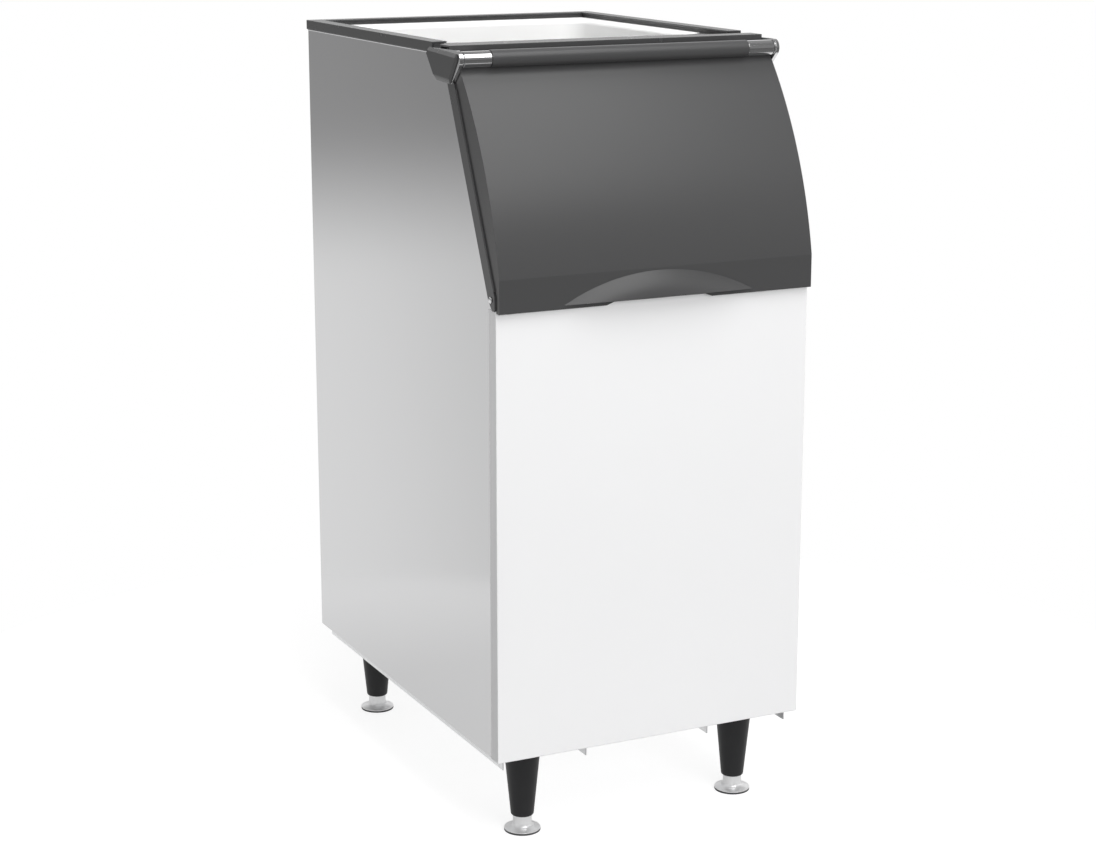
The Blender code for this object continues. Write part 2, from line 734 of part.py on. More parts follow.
def mitre_cutter(sign, keep_side):
    """A wedge in plan that cuts a trim along the corner's diagonal."""
    corner = (sign * TRIM_OUTER, TRIM_REAR)
    reach = TRIM_FLANGE + OVERRUN
    gap = FIT / 2
    shift = -gap if keep_side else gap
    start = (corner[0] + sign * OVERRUN, corner[1] + OVERRUN + shift)
    end = (corner[0] - sign * reach, corner[1] - reach + shift)
    if keep_side:
        wedge = [start, end, (end[0], start[1])]
    else:
        wedge = [start, end, (start[0], end[1])]
    return prism(wedge, LIP_BOTTOM - OVERRUN, TRIM_TOP + OVERRUN, ALONG_Z)


def trim_profile(outer, inward):
    """The trim's angle as an outline: outer edge, and the direction in which its flange points."""
    flange = outer + inward * TRIM_FLANGE
    skirt = outer + inward * TRIM_SKIRT_WALL
    under = TRIM_TOP - TRIM_THICKNESS
    foot = TRIM_TOP - TRIM_SKIRT_HEIGHT
    return [(outer, foot), (outer, TRIM_TOP), (flange, TRIM_TOP), (flange, under), (skirt, under),
            (skirt, foot)]


def trim_side(side, sign):
    outline = trim_profile(sign * TRIM_OUTER, -sign)
    bar = prism(outline, -TRIM_REAR, -TRIM_FRONT_DEPTH, ALONG_Y)
    return finish(cut(bar, mitre_cutter(sign, True)), "trim_" + side, "dark_trim")


def trim_back():
    bar = prism(trim_profile(TRIM_REAR, -1), -TRIM_OUTER, TRIM_OUTER)
    cut(bar, mitre_cutter(-1, False), mitre_cutter(1, False))
    return finish(bar, "trim_back", "dark_trim")


def trim_seal():
    outer = HALF_WIDTH - FIT
    inner = TRIM_OUTER - TRIM_FLANGE + SEAL_SETBACK
    rear = CABINET_DEPTH - FIT
    rear_inner = TRIM_REAR - TRIM_FLANGE + SEAL_SETBACK
    plan = [
        (-outer, TRIM_FRONT_DEPTH), (-inner, TRIM_FRONT_DEPTH), (-inner, rear_inner),
        (inner, rear_inner), (inner, TRIM_FRONT_DEPTH), (outer, TRIM_FRONT_DEPTH),
        (outer, rear), (-outer, rear),
    ]
    strip = prism(plan, LIP_TOP + FIT, TRIM_TOP - TRIM_THICKNESS - FIT, ALONG_Z)
    return finish(strip, "trim_seal", "rubber")


def front_rail():
    """A downward channel across the front, with a long front skirt."""
    front = RAIL_FRONT_DEPTH
    rear = front + RAIL_WIDTH
    under = RAIL_TOP - RAIL_WALL
    outline = [
        (front, RAIL_TOP - RAIL_SKIRT),
        (front, RAIL_TOP),
        (rear, RAIL_TOP),
        (rear, LIP_TOP + FIT),
        (rear - RAIL_WALL, LIP_TOP + FIT),
        (rear - RAIL_WALL, under),
        (front + RAIL_WALL, under),
        (front + RAIL_WALL, RAIL_TOP - RAIL_SKIRT),
    ]
    rail = prism(outline, -TRIM_OUTER, TRIM_OUTER)
    return finish(rail, "front_rail", "dark_trim")


def front_deck():
    """A sheet on the liner's lip, from the rail to the opening, with a fillet to each side trim."""
    half = TRIM_OUTER - TRIM_FLANGE + SEAL_SETBACK - FIT
    wide = HALF_WIDTH - FIT
    front = RAIL_FRONT_DEPTH + RAIL_WIDTH + DECK_SETBACK
    step = TRIM_FRONT_DEPTH - FIT
    rear = front + DECK_DEPTH
    right = arc((half - DECK_CORNER, rear + DECK_CORNER), DECK_CORNER, 0, -math.pi / 2, 8)
    left = [(-x, y) for x, y in reversed(right)]
    plan = [(-wide, front), (wide, front), (wide, step), (half, step)] + right + left
    plan += [(-half, step), (-wide, step)]
    sheet = prism(plan, LIP_TOP + FIT, LIP_TOP + FIT + DECK_THICKNESS, ALONG_Z)
    return finish(sheet, "front_deck", "dark_trim")


# Hinge

def nose_outline(rear_points, radius):
    """Rear corners given top first, closed by a round nose about the hinge axis."""
    axis = Vector((HINGE_DEPTH, HINGE_Z))
    top = Vector(rear_points[0]) - axis
    low = Vector(rear_points[-1]) - axis
    start = math.atan2(top.y, top.x) + math.acos(radius / top.length)
    stop = 2 * math.pi + math.atan2(low.y, low.x) - math.acos(radius / low.length)
    return list(rear_points) + arc(axis, radius, stop, start, 12)


def base_corners():
    """The hinge plate's rear corners, as shares of its length and height from the axis."""
    length_share = (0.955, 1.00, 0.722, 0.190)
    height_share = (0.283, 0.095, -0.726, -0.866)
    length = TRIM_FRONT_DEPTH - PLATE_GAP - HINGE_DEPTH
    return [
        (HINGE_DEPTH + a * length, HINGE_Z + b * HINGE_HEIGHT)
        for a, b in zip(length_share, height_share)
    ]


def hinge_base(side, sign):
    corners = base_corners()
    outline = nose_outline(corners, BASE_NOSE_RADIUS)
    outer = sign * BASE_OUTER
    inner = sign * (HALF_WIDTH + FIT)
    plate = prism(outline, min(outer, inner), max(outer, inner))
    boss_end = sign * (HALF_WIDTH - BASE_BOSS)
    boss_start = sign * (HALF_WIDTH + SHEET)
    low, high = min(boss_end, boss_start), max(boss_end, boss_start)
    add(plate, rod(SLEEVE_RADIUS, low, high, HINGE_DEPTH, HINGE_Z))
    cut(plate, rod(HINGE_BORE, -BASE_OUTER - OVERRUN, BASE_OUTER + OVERRUN, HINGE_DEPTH, HINGE_Z))
    cut(plate, strip_relief(sign))
    return finish(plate, "hinge_base_" + side, "bright_metal")


def strip_relief(sign):
    """Room in the hinge plate for the frame strip's outer leg and the front rail's end."""
    low_q = SEAT_GAP - FIT
    high_q = SEAT_GAP + STRIP_WIDTH + FIT
    outline = [
        slope(low_q, 0), slope(high_q, 0),
        slope(high_q, STRIP_TOP_S + FIT), slope(low_q, STRIP_TOP_S + FIT),
    ]
    outer = sign * (STRIP_OUTER + FIT)
    inner = sign * (HALF_WIDTH - OVERRUN)
    relief = prism(outline, min(outer, inner), max(outer, inner))
    rail_low = (min(outer, inner), RAIL_FRONT_DEPTH - FIT, RAIL_TOP - RAIL_SKIRT - FIT)
    rail_rear = RAIL_FRONT_DEPTH + RAIL_WIDTH + FIT
    rail_high = (max(outer, inner), rail_rear, RAIL_TOP + OVERRUN)
    return apply(add(relief, block(rail_low, rail_high)))


def cover_corners():
    """The cover's corners, as shares of its length and height from the hinge axis."""
    length_share = (-0.130, 0.959, 1.041, 0.741, 0.203)
    height_share = (0.186, 0.301, 0.081, -0.724, -0.871)
    length = TRIM_FRONT_DEPTH + COVER_OVERHANG - HINGE_DEPTH
    return [
        (HINGE_DEPTH + a * length, HINGE_Z + b * HINGE_HEIGHT)
        for a, b in zip(length_share, height_share)
    ]


def hinge_cover(side, sign):
    outline = rounded(cover_corners(), [COVER_ROUND] * 5, 4)
    outer = sign * COVER_OUTER
    inner = sign * COVER_INNER
    cap = prism(outline, min(outer, inner), max(outer, inner))
    bevel(cap, COVER_BEVEL, math.radians(60))
    pocket_end = sign * (COVER_INNER + HINGE_SCREW_HEAD + FIT)
    pocket_start = sign * (COVER_INNER - OVERRUN)
    low, high = min(pocket_end, pocket_start), max(pocket_end, pocket_start)
    for depth, height in screw_places():
        cut(cap, rod(HINGE_SCREW_RADIUS + FIT, low, high, depth, height, 16))
    return finish(cap, "hinge_cover_" + side, "dark_trim")


def screw_places():
    """Depth and height of the screws that hold a hinge plate."""
    length = TRIM_FRONT_DEPTH - HINGE_DEPTH
    screw_share = ((0.38, -0.26), (0.80, -0.02))
    return [(HINGE_DEPTH + a * length, HINGE_Z + b * length) for a, b in screw_share]


def hinge_screws(side, sign):
    for end, (depth, height) in zip(("front", "rear"), screw_places()):
        place = (sign * COVER_INNER, FRONT_Y + depth, height)
        head = screw_head(place, outwards(sign), HINGE_SCREW_RADIUS, HINGE_SCREW_HEAD)
        finish(head, "hinge_screw_" + end + "_" + side, "bright_metal")


def hinge_rod():
    half = BASE_OUTER - ROD_END_INSET
    return finish(rod(ROD_RADIUS, -half, half, HINGE_DEPTH, HINGE_Z), "hinge_rod", "bright_metal")


def hinge_sleeve(side, sign):
    outer = sign * SLEEVE_OUTER
    inner = sign * (SLEEVE_OUTER - SLEEVE_LENGTH)
    low, high = min(outer, inner), max(outer, inner)
    sleeve = tube(SLEEVE_RADIUS, HINGE_BORE, low, high, HINGE_DEPTH, HINGE_Z)
    return finish(sleeve, "hinge_sleeve_" + side, "bright_metal")


# Door

def face_arc(inset=0.0):
    """The door's curved face from the fold up to its top, moved inwards by an amount."""
    fold = Vector((-BAND_STANDOFF, FOLD_Z))
    top = Vector((HINGE_DEPTH + FACE_TOP_BEHIND, HINGE_Z - FACE_TOP_BELOW))
    chord = top - fold
    radius = chord.length ** 2 / (8 * FACE_SAG) + FACE_SAG / 2
    inward = Vector((chord.y, -chord.x)).normalized()
    centre = (fold + top) / 2 + inward * (radius - FACE_SAG)
    start = math.atan2(fold.y - centre.y, fold.x - centre.x)
    sweep = 2 * math.asin(chord.length / 2 / radius)
    if start < 0:
        start += 2 * math.pi
    return arc(centre, radius - inset, start, start - sweep, FACE_STEPS)


def door_rear_top():
    depth = HINGE_DEPTH + DOOR_REAR_BEHIND
    return slope_at_depth(0, depth)


def door_block():
    """The door's outer form, full width, with rounded edges round the curved face."""
    outline = [(-BAND_STANDOFF, DOOR_BOTTOM)] + face_arc() + [
        door_rear_top(),
        slope_at_depth(0, -CHEEK_GAP),
        (-CHEEK_GAP, DOOR_BOTTOM),
    ]
    body = prism(outline, -DOOR_HALF, DOOR_HALF)
    return round_edges(body, DOOR_EDGE_ROUND, 2, between_face_and_cheek)


def between_face_and_cheek(edge):
    if len(edge.link_faces) != 2:
        return False
    sides = [face.normal for face in edge.link_faces]
    cheeks = [normal for normal in sides if abs(normal.z) > 0.9]
    fronts = [normal for normal in sides if abs(normal.z) < 0.1 and normal.x < -0.5]
    return bool(cheeks and fronts)


def door_hollow():
    """The space inside the shell, open at the rear and the bottom."""
    inner = face_arc(DOOR_WALL)
    top = inner[-1]
    rear = door_rear_top()
    outline = [(-BAND_STANDOFF + DOOR_WALL, DOOR_BOTTOM - OVERRUN)] + inner[:-1] + [
        (top[0], top[1] - DOOR_WALL),
        (rear[0], rear[1] - DOOR_WALL - FIT),
        (rear[0] + OVERRUN, rear[1] - DOOR_WALL - FIT),
        (OVERRUN, DOOR_BOTTOM - OVERRUN),
    ]
    half = DOOR_HALF - DOOR_WALL
    hollow = prism(outline, -half, half)
    round_the_roll = rod(ROLL_RADIUS + DOOR_WALL, -DOOR_HALF, DOOR_HALF, HINGE_DEPTH, HINGE_Z)
    return apply(cut(hollow, round_the_roll))


def grip_dome(inset, reach_cut, back):
    """A dome about the grip's horizontal axis, which bulges forwards from the band's face."""
    base = GRIP_ARC * math.cos(GRIP_EDGE_ANGLE)
    crown = []
    for i in range(DOME_STEPS + 1):
        angle = GRIP_EDGE_ANGLE * i / DOME_STEPS
        across = GRIP_RADIUS - GRIP_ARC * (math.sin(GRIP_EDGE_ANGLE) - math.sin(angle))
        crown.append((across - inset, GRIP_ARC * math.cos(angle) - base - reach_cut))
    profile = [(0, crown[0][1])] + crown + [(crown[-1][0], -back), (0, -back)]
    return turned(profile, (0, FRONT_Y - BAND_STANDOFF, GRIP_Z), ALONG_Y, DOME_TURNS)


def grip_keep():
    """The space above the grip's lip, which slopes up towards the front."""
    front = -BAND_STANDOFF - GRIP_REACH - OVERRUN
    lip = DOOR_BOTTOM + GRIP_RISE
    climb = GRIP_LIP_RISE / GRIP_REACH
    back = OVERRUN
    outline = [
        (back, lip - climb * (back + BAND_STANDOFF)),
        (back, FOLD_Z + OVERRUN),
        (front, FOLD_Z + OVERRUN),
        (front, lip - climb * (front + BAND_STANDOFF)),
    ]
    return prism(outline, -GRIP_HALF_WIDTH - OVERRUN, GRIP_HALF_WIDTH + OVERRUN)


def door_neck():
    """Joins the shell's top to the roll, and reaches in under the sleeves at both ends."""
    axis = Vector((HINGE_DEPTH, HINGE_Z))
    top = Vector((HINGE_DEPTH + FACE_TOP_BEHIND, HINGE_Z - FACE_TOP_BELOW))
    rear = Vector(door_rear_top())
    root = [
        tuple(top + Vector((-DOOR_WALL / 2, -DOOR_WALL))),
        tuple(rear + Vector((-DOOR_WALL, -DOOR_WALL / 2))),
    ]
    low_front_share = (0.50, -0.75)
    top_share = (0.75, 0.60)
    shoulder_share = -0.30
    low_front = tuple(axis + ROLL_RADIUS * Vector(low_front_share))
    shoulder_top = tuple(axis + Vector((ROLL_RADIUS + DOOR_WALL, ROLL_RADIUS * shoulder_share)))
    shoulder = root + [shoulder_top, low_front]
    shoulder_half = DOOR_HALF - DOOR_WALL
    neck = prism(shoulder, -shoulder_half, shoulder_half)
    swept = SLEEVE_RADIUS + RUN
    for low, high in ((-HALF_WIDTH, -ROLL_HALF), (ROLL_HALF, HALF_WIDTH)):
        cut(neck, rod(swept, low, high, HINGE_DEPTH, HINGE_Z))
    web = root + [
        tuple(axis + Vector((ROLL_RADIUS + DOOR_WALL, 0))),
        tuple(axis + ROLL_RADIUS * Vector(top_share)),
        low_front,
    ]
    return apply(add(neck, prism(web, -ROLL_HALF, ROLL_HALF)))


def finger_notch():
    ramp = NOTCH_HALF_WIDTH + NOTCH_RAMP
    top = DOOR_BOTTOM + NOTCH_HEIGHT
    below = DOOR_BOTTOM - OVERRUN
    outline = [
        (-ramp, DOOR_BOTTOM), (-ramp, below), (ramp, below),
        (ramp, DOOR_BOTTOM), (NOTCH_HALF_WIDTH, top), (-NOTCH_HALF_WIDTH, top),
    ]
    return prism(outline, -OVERRUN, BAND_STANDOFF + OVERRUN, ALONG_Y)


def grip_hollow():
    """The space behind the grip's skin, open below, which leaves the band's lower edge whole."""
    hollow = grip_dome(GRIP_HOLLOW_INSET, DOOR_WALL, BAND_STANDOFF)
    half = GRIP_HALF_WIDTH + OVERRUN
    front = -BAND_STANDOFF - GRIP_REACH - OVERRUN
    above = block((-half, front, DOOR_BOTTOM + NOTCH_HEIGHT), (half, OVERRUN, FOLD_Z + OVERRUN))
    return apply(combine(hollow, above, "INTERSECT"))


def door_shell():
    body = door_block()
    add(body, apply(combine(grip_dome(0, 0, DOOR_WALL / 2), grip_keep(), "INTERSECT")))
    add(body, door_neck(), rod(ROLL_RADIUS, -ROLL_HALF, ROLL_HALF, HINGE_DEPTH, HINGE_Z))
    cut(body, door_hollow(), grip_hollow(), finger_notch())
    cut(body, rod(BUSH_RADIUS + FIT, -HALF_WIDTH, HALF_WIDTH, HINGE_DEPTH, HINGE_Z))
    return finish(body, "door_shell", "door_plastic")


def slope_origin():
    return (0, FRONT_Y, SEAT_Z)


def door_panel():
    half = DOOR_HALF - DOOR_WALL - FIT
    top_s = (door_rear_top()[1] - SEAT_Z - DOOR_WALL - FIT - FIT) / math.cos(SLOPE_ANGLE) - DOOR_WALL
    plan = rectangle(-half, DOOR_PANEL_FOOT_S, half, top_s)
    sheet = prism(plan, 0, DOOR_PANEL_THICKNESS, ON_SLOPE, slope_origin())
    foot = slope(-DOOR_PANEL_THICKNESS / 2, DOOR_PANEL_FOOT_S)
    front = -BAND_STANDOFF + DOOR_WALL + FIT
    shelf = block(
        (-half, front, foot[1]), (half, foot[0], foot[1] + DOOR_PANEL_THICKNESS))
    return finish(add(sheet, shelf), "door_panel", "door_plastic")


def door_gasket():
    half = DOOR_HALF - GASKET_INSET
    low = DOOR_PANEL_FOOT_S + FIT
    high = (door_rear_top()[1] - SEAT_Z) / math.cos(SLOPE_ANGLE) - GASKET_INSET
    ring = prism(
        rectangle(-half, low, half, high), -GASKET_THICKNESS - FIT, -FIT, ON_SLOPE, slope_origin())
    hole = rectangle(
        -half + GASKET_WIDTH, low + GASKET_WIDTH, half - GASKET_WIDTH, high - GASKET_WIDTH)
    cut(ring, prism(hole, -OVERRUN, OVERRUN, ON_SLOPE, slope_origin()))
    return finish(ring, "door_gasket", "rubber")


def hinge_bush(side, sign):
    outer = sign * ROLL_HALF
    inner = sign * (ROLL_HALF - BUSH_LENGTH)
    low, high = min(outer, inner), max(outer, inner)
    bush = tube(BUSH_RADIUS, HINGE_BORE, low, high, HINGE_DEPTH, HINGE_Z)
    return finish(bush, "hinge_bush_" + side, "drain_plastic")


# Base, legs and feet

def base_rail(side, sign):
    low, high = -BASE_RAIL_WIDTH / 2, BASE_RAIL_WIDTH / 2
    top = PANEL_BOTTOM - FIT
    under = top - BASE_RAIL_WALL
    foot = top - BASE_RAIL_HEIGHT
    middle = sign * (HALF_WIDTH - BASE_RAIL_INSET + low)
    outline = [
        (middle + low, foot), (middle + low + BASE_RAIL_WALL, foot),
        (middle + low + BASE_RAIL_WALL, under), (middle + high - BASE_RAIL_WALL, under),
        (middle + high - BASE_RAIL_WALL, foot), (middle + high, foot),
        (middle + high, top), (middle + low, top),
    ]
    rear = CABINET_DEPTH - BASE_RAIL_REAR_INSET
    rail = prism(outline, -rear, -BASE_RAIL_FRONT, ALONG_Y)
    return finish(rail, "base_rail_" + side, "galvanised")


def leg(end, depth, side, sign):
    bore = STEM_RADIUS + FIT
    curve = arc(
        (LEG_FOOT_RADIUS - LEG_FOOT_ROUND, LEG_FOOT_Z + LEG_FOOT_ROUND), LEG_FOOT_ROUND,
        0, -math.pi / 2, 3)
    bore_top = LEG_FOOT_Z + LEG_BORE_DEPTH
    profile = [(0, LEG_TOP_Z), (LEG_TOP_RADIUS, LEG_TOP_Z)] + curve
    profile += [(bore, LEG_FOOT_Z), (bore, bore_top), (0, bore_top)]
    made = turned(profile, (sign * LEG_X, FRONT_Y + depth, 0), ALONG_Z, 28)
    return finish(made, "leg_" + end + "_" + side, "leg_plastic")


def foot(end, depth, side, sign):
    rim_top = DISC_BOTTOM + DISC_RIM
    fillet = arc(
        (STEM_RADIUS + DISC_FILLET, rim_top + DISC_CROWN + DISC_FILLET), DISC_FILLET,
        math.pi, math.pi * 1.5, 4)
    profile = [(0, STEM_LENGTH), (STEM_RADIUS, STEM_LENGTH)] + fillet
    profile += [(DISC_RADIUS, rim_top), (DISC_RADIUS, DISC_BOTTOM), (0, DISC_BOTTOM)]
    place = (sign * LEG_X, FRONT_Y + depth, 0)
    metal = finish(turned(profile, place, ALONG_Z, 28), "foot_" + end + "_" + side, "bright_metal")
    disc = [(0, PAD_THICKNESS), (PAD_RADIUS, PAD_THICKNESS), (PAD_RADIUS, 0), (0, 0)]
    pad = finish(turned(disc, place, ALONG_Z, 28), "pad_" + end + "_" + side, "rubber")
    hang_on("foot_axis_" + end + "_" + side, place, [metal, pad])
    return metal


# Drain

def drain():
    place = (0, FRONT_Y + DRAIN_DEPTH, 0)
    flange_low = BASIN_FLOOR + FIT
    flange_top = flange_low + DRAIN_FLANGE
    tail = PANEL_BOTTOM - DRAIN_TAIL
    ring = [
        (DRAIN_FLANGE_RADIUS, flange_top), (DRAIN_FLANGE_RADIUS, flange_low),
        (DRAIN_RADIUS, flange_low), (DRAIN_RADIUS, tail), (DRAIN_BORE, tail), (DRAIN_BORE, flange_top),
    ]
    finish(turned(ring, place, closed=True), "drain_fitting", "drain_plastic")
    washer_top = BOTTOM_SHEET_Z - FIT
    washer_low = washer_top - DRAIN_WASHER
    bore = DRAIN_RADIUS + FIT
    washer = [
        (DRAIN_WASHER_RADIUS, washer_top), (DRAIN_WASHER_RADIUS, washer_low),
        (bore, washer_low), (bore, washer_top),
    ]
    finish(turned(washer, place, closed=True), "drain_gasket", "rubber")
    nut_top = washer_low - FIT
    nut_low = nut_top - NUT_HEIGHT
    nut = [(0, nut_top), (NUT_RADIUS, nut_top), (NUT_RADIUS, nut_low), (0, nut_low)]
    hexagon = turned(nut, place, steps=6)
    finish(cut(hexagon, drain_hole(FIT)), "drain_nut", "drain_plastic")
    grate_low = flange_top + FIT
    grate_top = grate_low + STRAINER_THICKNESS
    radius = DRAIN_FLANGE_RADIUS - DRAIN_FLANGE
    grate = [(0, grate_top), (radius, grate_top), (radius, grate_low), (0, grate_low)]
    strainer = turned(grate, place)
    for i in range(STRAINER_HOLES):
        angle = math.tau * i / STRAINER_HOLES
        hole = [(0, grate_top + OVERRUN), (STRAINER_HOLE, grate_top + OVERRUN),
                (STRAINER_HOLE, grate_low - OVERRUN), (0, grate_low - OVERRUN)]
        x = STRAINER_RING * math.cos(angle)
        y = STRAINER_RING * math.sin(angle)
        cut(strainer, turned(hole, (x, place[1] + y, 0), steps=10))
    finish(strainer, "drain_strainer", "bright_metal")


def back_screws(side, sign):
    backwards = Matrix(((1, 0, 0), (0, 0, 1), (0, -1, 0)))
    low = PANEL_BOTTOM + BACK_SCREW_INSET * 2
    high = WALL_TOP - BACK_SCREW_INSET * 2
    for level, height in (("lower", low), ("upper", high)):
        place = (sign * (HALF_WIDTH - BACK_SCREW_INSET), FRONT_Y + CABINET_DEPTH + FIT, height)
        head = screw_head(place, backwards, height=TRIM_SKIRT_WALL - FIT)
        finish(head, "back_screw_" + level + "_" + side, "bright_metal")


# Build

front_panel()
back_panel()
bottom_panel()
liner()
foam_insulation()
sill_strip()
trim_back()
trim_seal()
front_rail()
front_deck()
hinge_rod()
drain()
door_pieces = [door_shell(), door_panel(), door_gasket()]
for side, sign in SIDES:
    side_panel(side, sign)
    frame_strip(side, sign)
    trim_side(side, sign)
    hinge_base(side, sign)
    hinge_cover(side, sign)
    hinge_screws(side, sign)
    hinge_sleeve(side, sign)
    frame_screw(side, sign)
    back_screws(side, sign)
    door_pieces.append(hinge_bush(side, sign))
    base_rail(side, sign)
    for end, depth in ENDS:
        leg(end, depth, side, sign)
        foot(end, depth, side, sign)
hang_on("door_hinge", (0, FRONT_Y + HINGE_DEPTH, HINGE_Z), door_pieces)
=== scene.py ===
"""Looks of the ice storage bin: finer shapes, materials, floor, lights and camera.

Metres, +Z up, the front faces -Y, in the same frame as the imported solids. Outlines of the cabinet
are drawn as (depth, height), where depth is measured from the front panel's face towards the back.
On the sloped door frame, a point is (q, s): q goes square into the frame from the door's seat, and
s goes up along the slope.
"""

import json
import math

import bmesh
import bpy
from mathutils import Matrix, Vector

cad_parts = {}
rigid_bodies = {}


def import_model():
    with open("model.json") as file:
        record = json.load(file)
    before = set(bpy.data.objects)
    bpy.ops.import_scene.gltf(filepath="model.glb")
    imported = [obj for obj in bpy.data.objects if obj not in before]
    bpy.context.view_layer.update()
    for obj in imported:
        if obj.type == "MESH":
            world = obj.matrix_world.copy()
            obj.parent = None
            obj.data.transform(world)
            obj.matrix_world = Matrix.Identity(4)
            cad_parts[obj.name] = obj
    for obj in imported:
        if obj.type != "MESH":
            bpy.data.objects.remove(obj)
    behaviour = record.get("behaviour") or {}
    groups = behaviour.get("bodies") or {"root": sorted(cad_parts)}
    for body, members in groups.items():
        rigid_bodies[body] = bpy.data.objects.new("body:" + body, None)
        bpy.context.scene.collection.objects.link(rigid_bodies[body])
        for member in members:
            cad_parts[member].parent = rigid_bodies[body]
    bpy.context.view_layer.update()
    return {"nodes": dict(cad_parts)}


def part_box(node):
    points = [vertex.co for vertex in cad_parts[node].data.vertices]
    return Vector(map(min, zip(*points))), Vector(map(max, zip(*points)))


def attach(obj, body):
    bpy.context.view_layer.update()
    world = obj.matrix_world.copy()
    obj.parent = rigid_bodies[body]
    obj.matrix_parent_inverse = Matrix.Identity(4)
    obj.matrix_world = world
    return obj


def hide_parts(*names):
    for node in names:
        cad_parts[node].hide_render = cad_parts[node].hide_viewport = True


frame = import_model()

# Clearances
FIT = 0.0003                  # gap between touching pieces
RUN = 0.0006                  # gap of a piece that moves
OVERRUN = 0.02                # how far a cutter passes the wall that it cuts
SHEET = 0.0012                # sheet metal of the cabinet
TINY = 0.0000001
LOOSE = 0.000005              # corners closer than this are joined

# Cabinet
CABINET_WIDTH = 0.555
CABINET_DEPTH = 0.7874
PANEL_BOTTOM = 0.1537
TRIM_TOP = 1.2745
FRONT_TOP = 0.8845
FRONT_RETURN = 0.025
BEAD_RADIUS = 0.0009
SHEET_BEND = 0.0015
HALF_WIDTH = CABINET_WIDTH / 2

# Sloped door frame
SLOPE_ANGLE = math.radians(24.9)
SEAT_Z = 0.9111
SEAT_GAP = 0.003
STRIP_WALL = 0.0015
STRIP_WEB = 0.003
STRIP_NOSE = 0.0005
STRIP_OUTER = HALF_WIDTH + FIT + STRIP_WALL
WALL_EDGE_Q = SEAT_GAP + STRIP_WEB + FIT

# Liner
LINER_WALL = 0.004
LINER_HALF = 0.2415
LINER_FRONT_INSET = 0.0415
LINER_REAR = 0.745
LINER_CORNER = 0.036
LINER_FLOOR_ROUND = 0.020
LINER_UNDERSIDE = 0.1957
BASIN_FLOOR = LINER_UNDERSIDE + LINER_WALL
LIP_TOP = 1.265
LIP_THICKNESS = 0.0035
LIP_BOTTOM = LIP_TOP - LIP_THICKNESS
LIP_ROUND = 0.0095            # soft edge between the tank's walls and its lip
SILL_THICKNESS = 0.0035
SILL_TOP = 0.889
SILL_SETBACK = 0.0025

# Hinge
HINGE_Z = 1.2539
HINGE_DEPTH = 0.1260039
ROLL_RADIUS = 0.0136
ROLL_EDGE = 0.0005
ROD_RADIUS = 0.006
ROD_END_INSET = 0.0008
SLEEVE_RADIUS = 0.0126
SLEEVE_LENGTH = 0.0463
SLEEVE_GAP = 0.0012
HINGE_BORE = 0.0063
BASE_THICKNESS = 0.0058
BASE_BOSS = 0.0018
COVER_THICKNESS = 0.0038
COVER_BEVEL_WIDTHS = (0.0055, 0.0022, 0.0018, 0.0085, 0.0040)     # top, then on round the rear
COVER_BEVEL_DEPTH = 0.0028
COVER_FACE_ROUND = 0.0015
COVER_EASE = 0.0003
COVER_ROUND = 0.0065
COVER_LENGTH_SHARES = (-0.130, 0.959, 1.041, 0.717, 0.203)      # its corners from the hinge axis
COVER_HEIGHT_SHARES = (0.186, 0.301, 0.081, -0.815, -0.871)
COVER_LENGTH = 0.105248       # hinge axis to the end of the cover, as its shares count it
HINGE_HEIGHT = 0.0441
TRIM_FRONT_DEPTH = 0.228002
HINGE_SCREW_RADIUS = 0.0040
HINGE_SCREW_HEAD = 0.0016
HINGE_SCREW_SHARES = ((0.38, -0.26), (0.80, -0.02))     # from the hinge axis to the trim's end
HINGE_EDGE = 0.0006
BUSH_RADIUS = 0.0095
BUSH_LENGTH = 0.030
BUSH_EDGE = 0.0003
SLEEVE_OUTER = HALF_WIDTH - BASE_BOSS - SLEEVE_GAP
ROLL_HALF = SLEEVE_OUTER - SLEEVE_LENGTH - RUN
BASE_OUTER = HALF_WIDTH + FIT + BASE_THICKNESS
COVER_INNER = BASE_OUTER + FIT
COVER_OUTER = COVER_INNER + COVER_THICKNESS

# Door
DOOR_HALF = HALF_WIDTH - RUN
DOOR_WALL = 0.003
DOOR_EDGE_ROUND = 0.0022
DOOR_FOLD_ROUND = 0.0012
DOOR_SMALL_ROUND = 0.0007
BAND_STANDOFF = 0.0115
BAND_HEIGHT = 0.0528
DOOR_BOTTOM = 0.881
FOLD_Z = DOOR_BOTTOM + BAND_HEIGHT
FACE_SAG = 0.0217
FACE_TOP_BEHIND = 0.0038
FACE_TOP_BELOW = 0.0128
DOOR_REAR_BEHIND = 0.0222
CHEEK_GAP = 0.0015
DOOR_PANEL_FOOT_S = 0.0045
GASKET_THICKNESS = 0.0024
GASKET_WIDTH = 0.0135
GASKET_INSET = 0.0004
GASKET_BULGE = 0.0021         # how far its sides stand out past the cheeks
GASKET_BULGE_TOP = 1.2085     # the bulge ends under the hinge plates
GASKET_ROUND = 0.0003

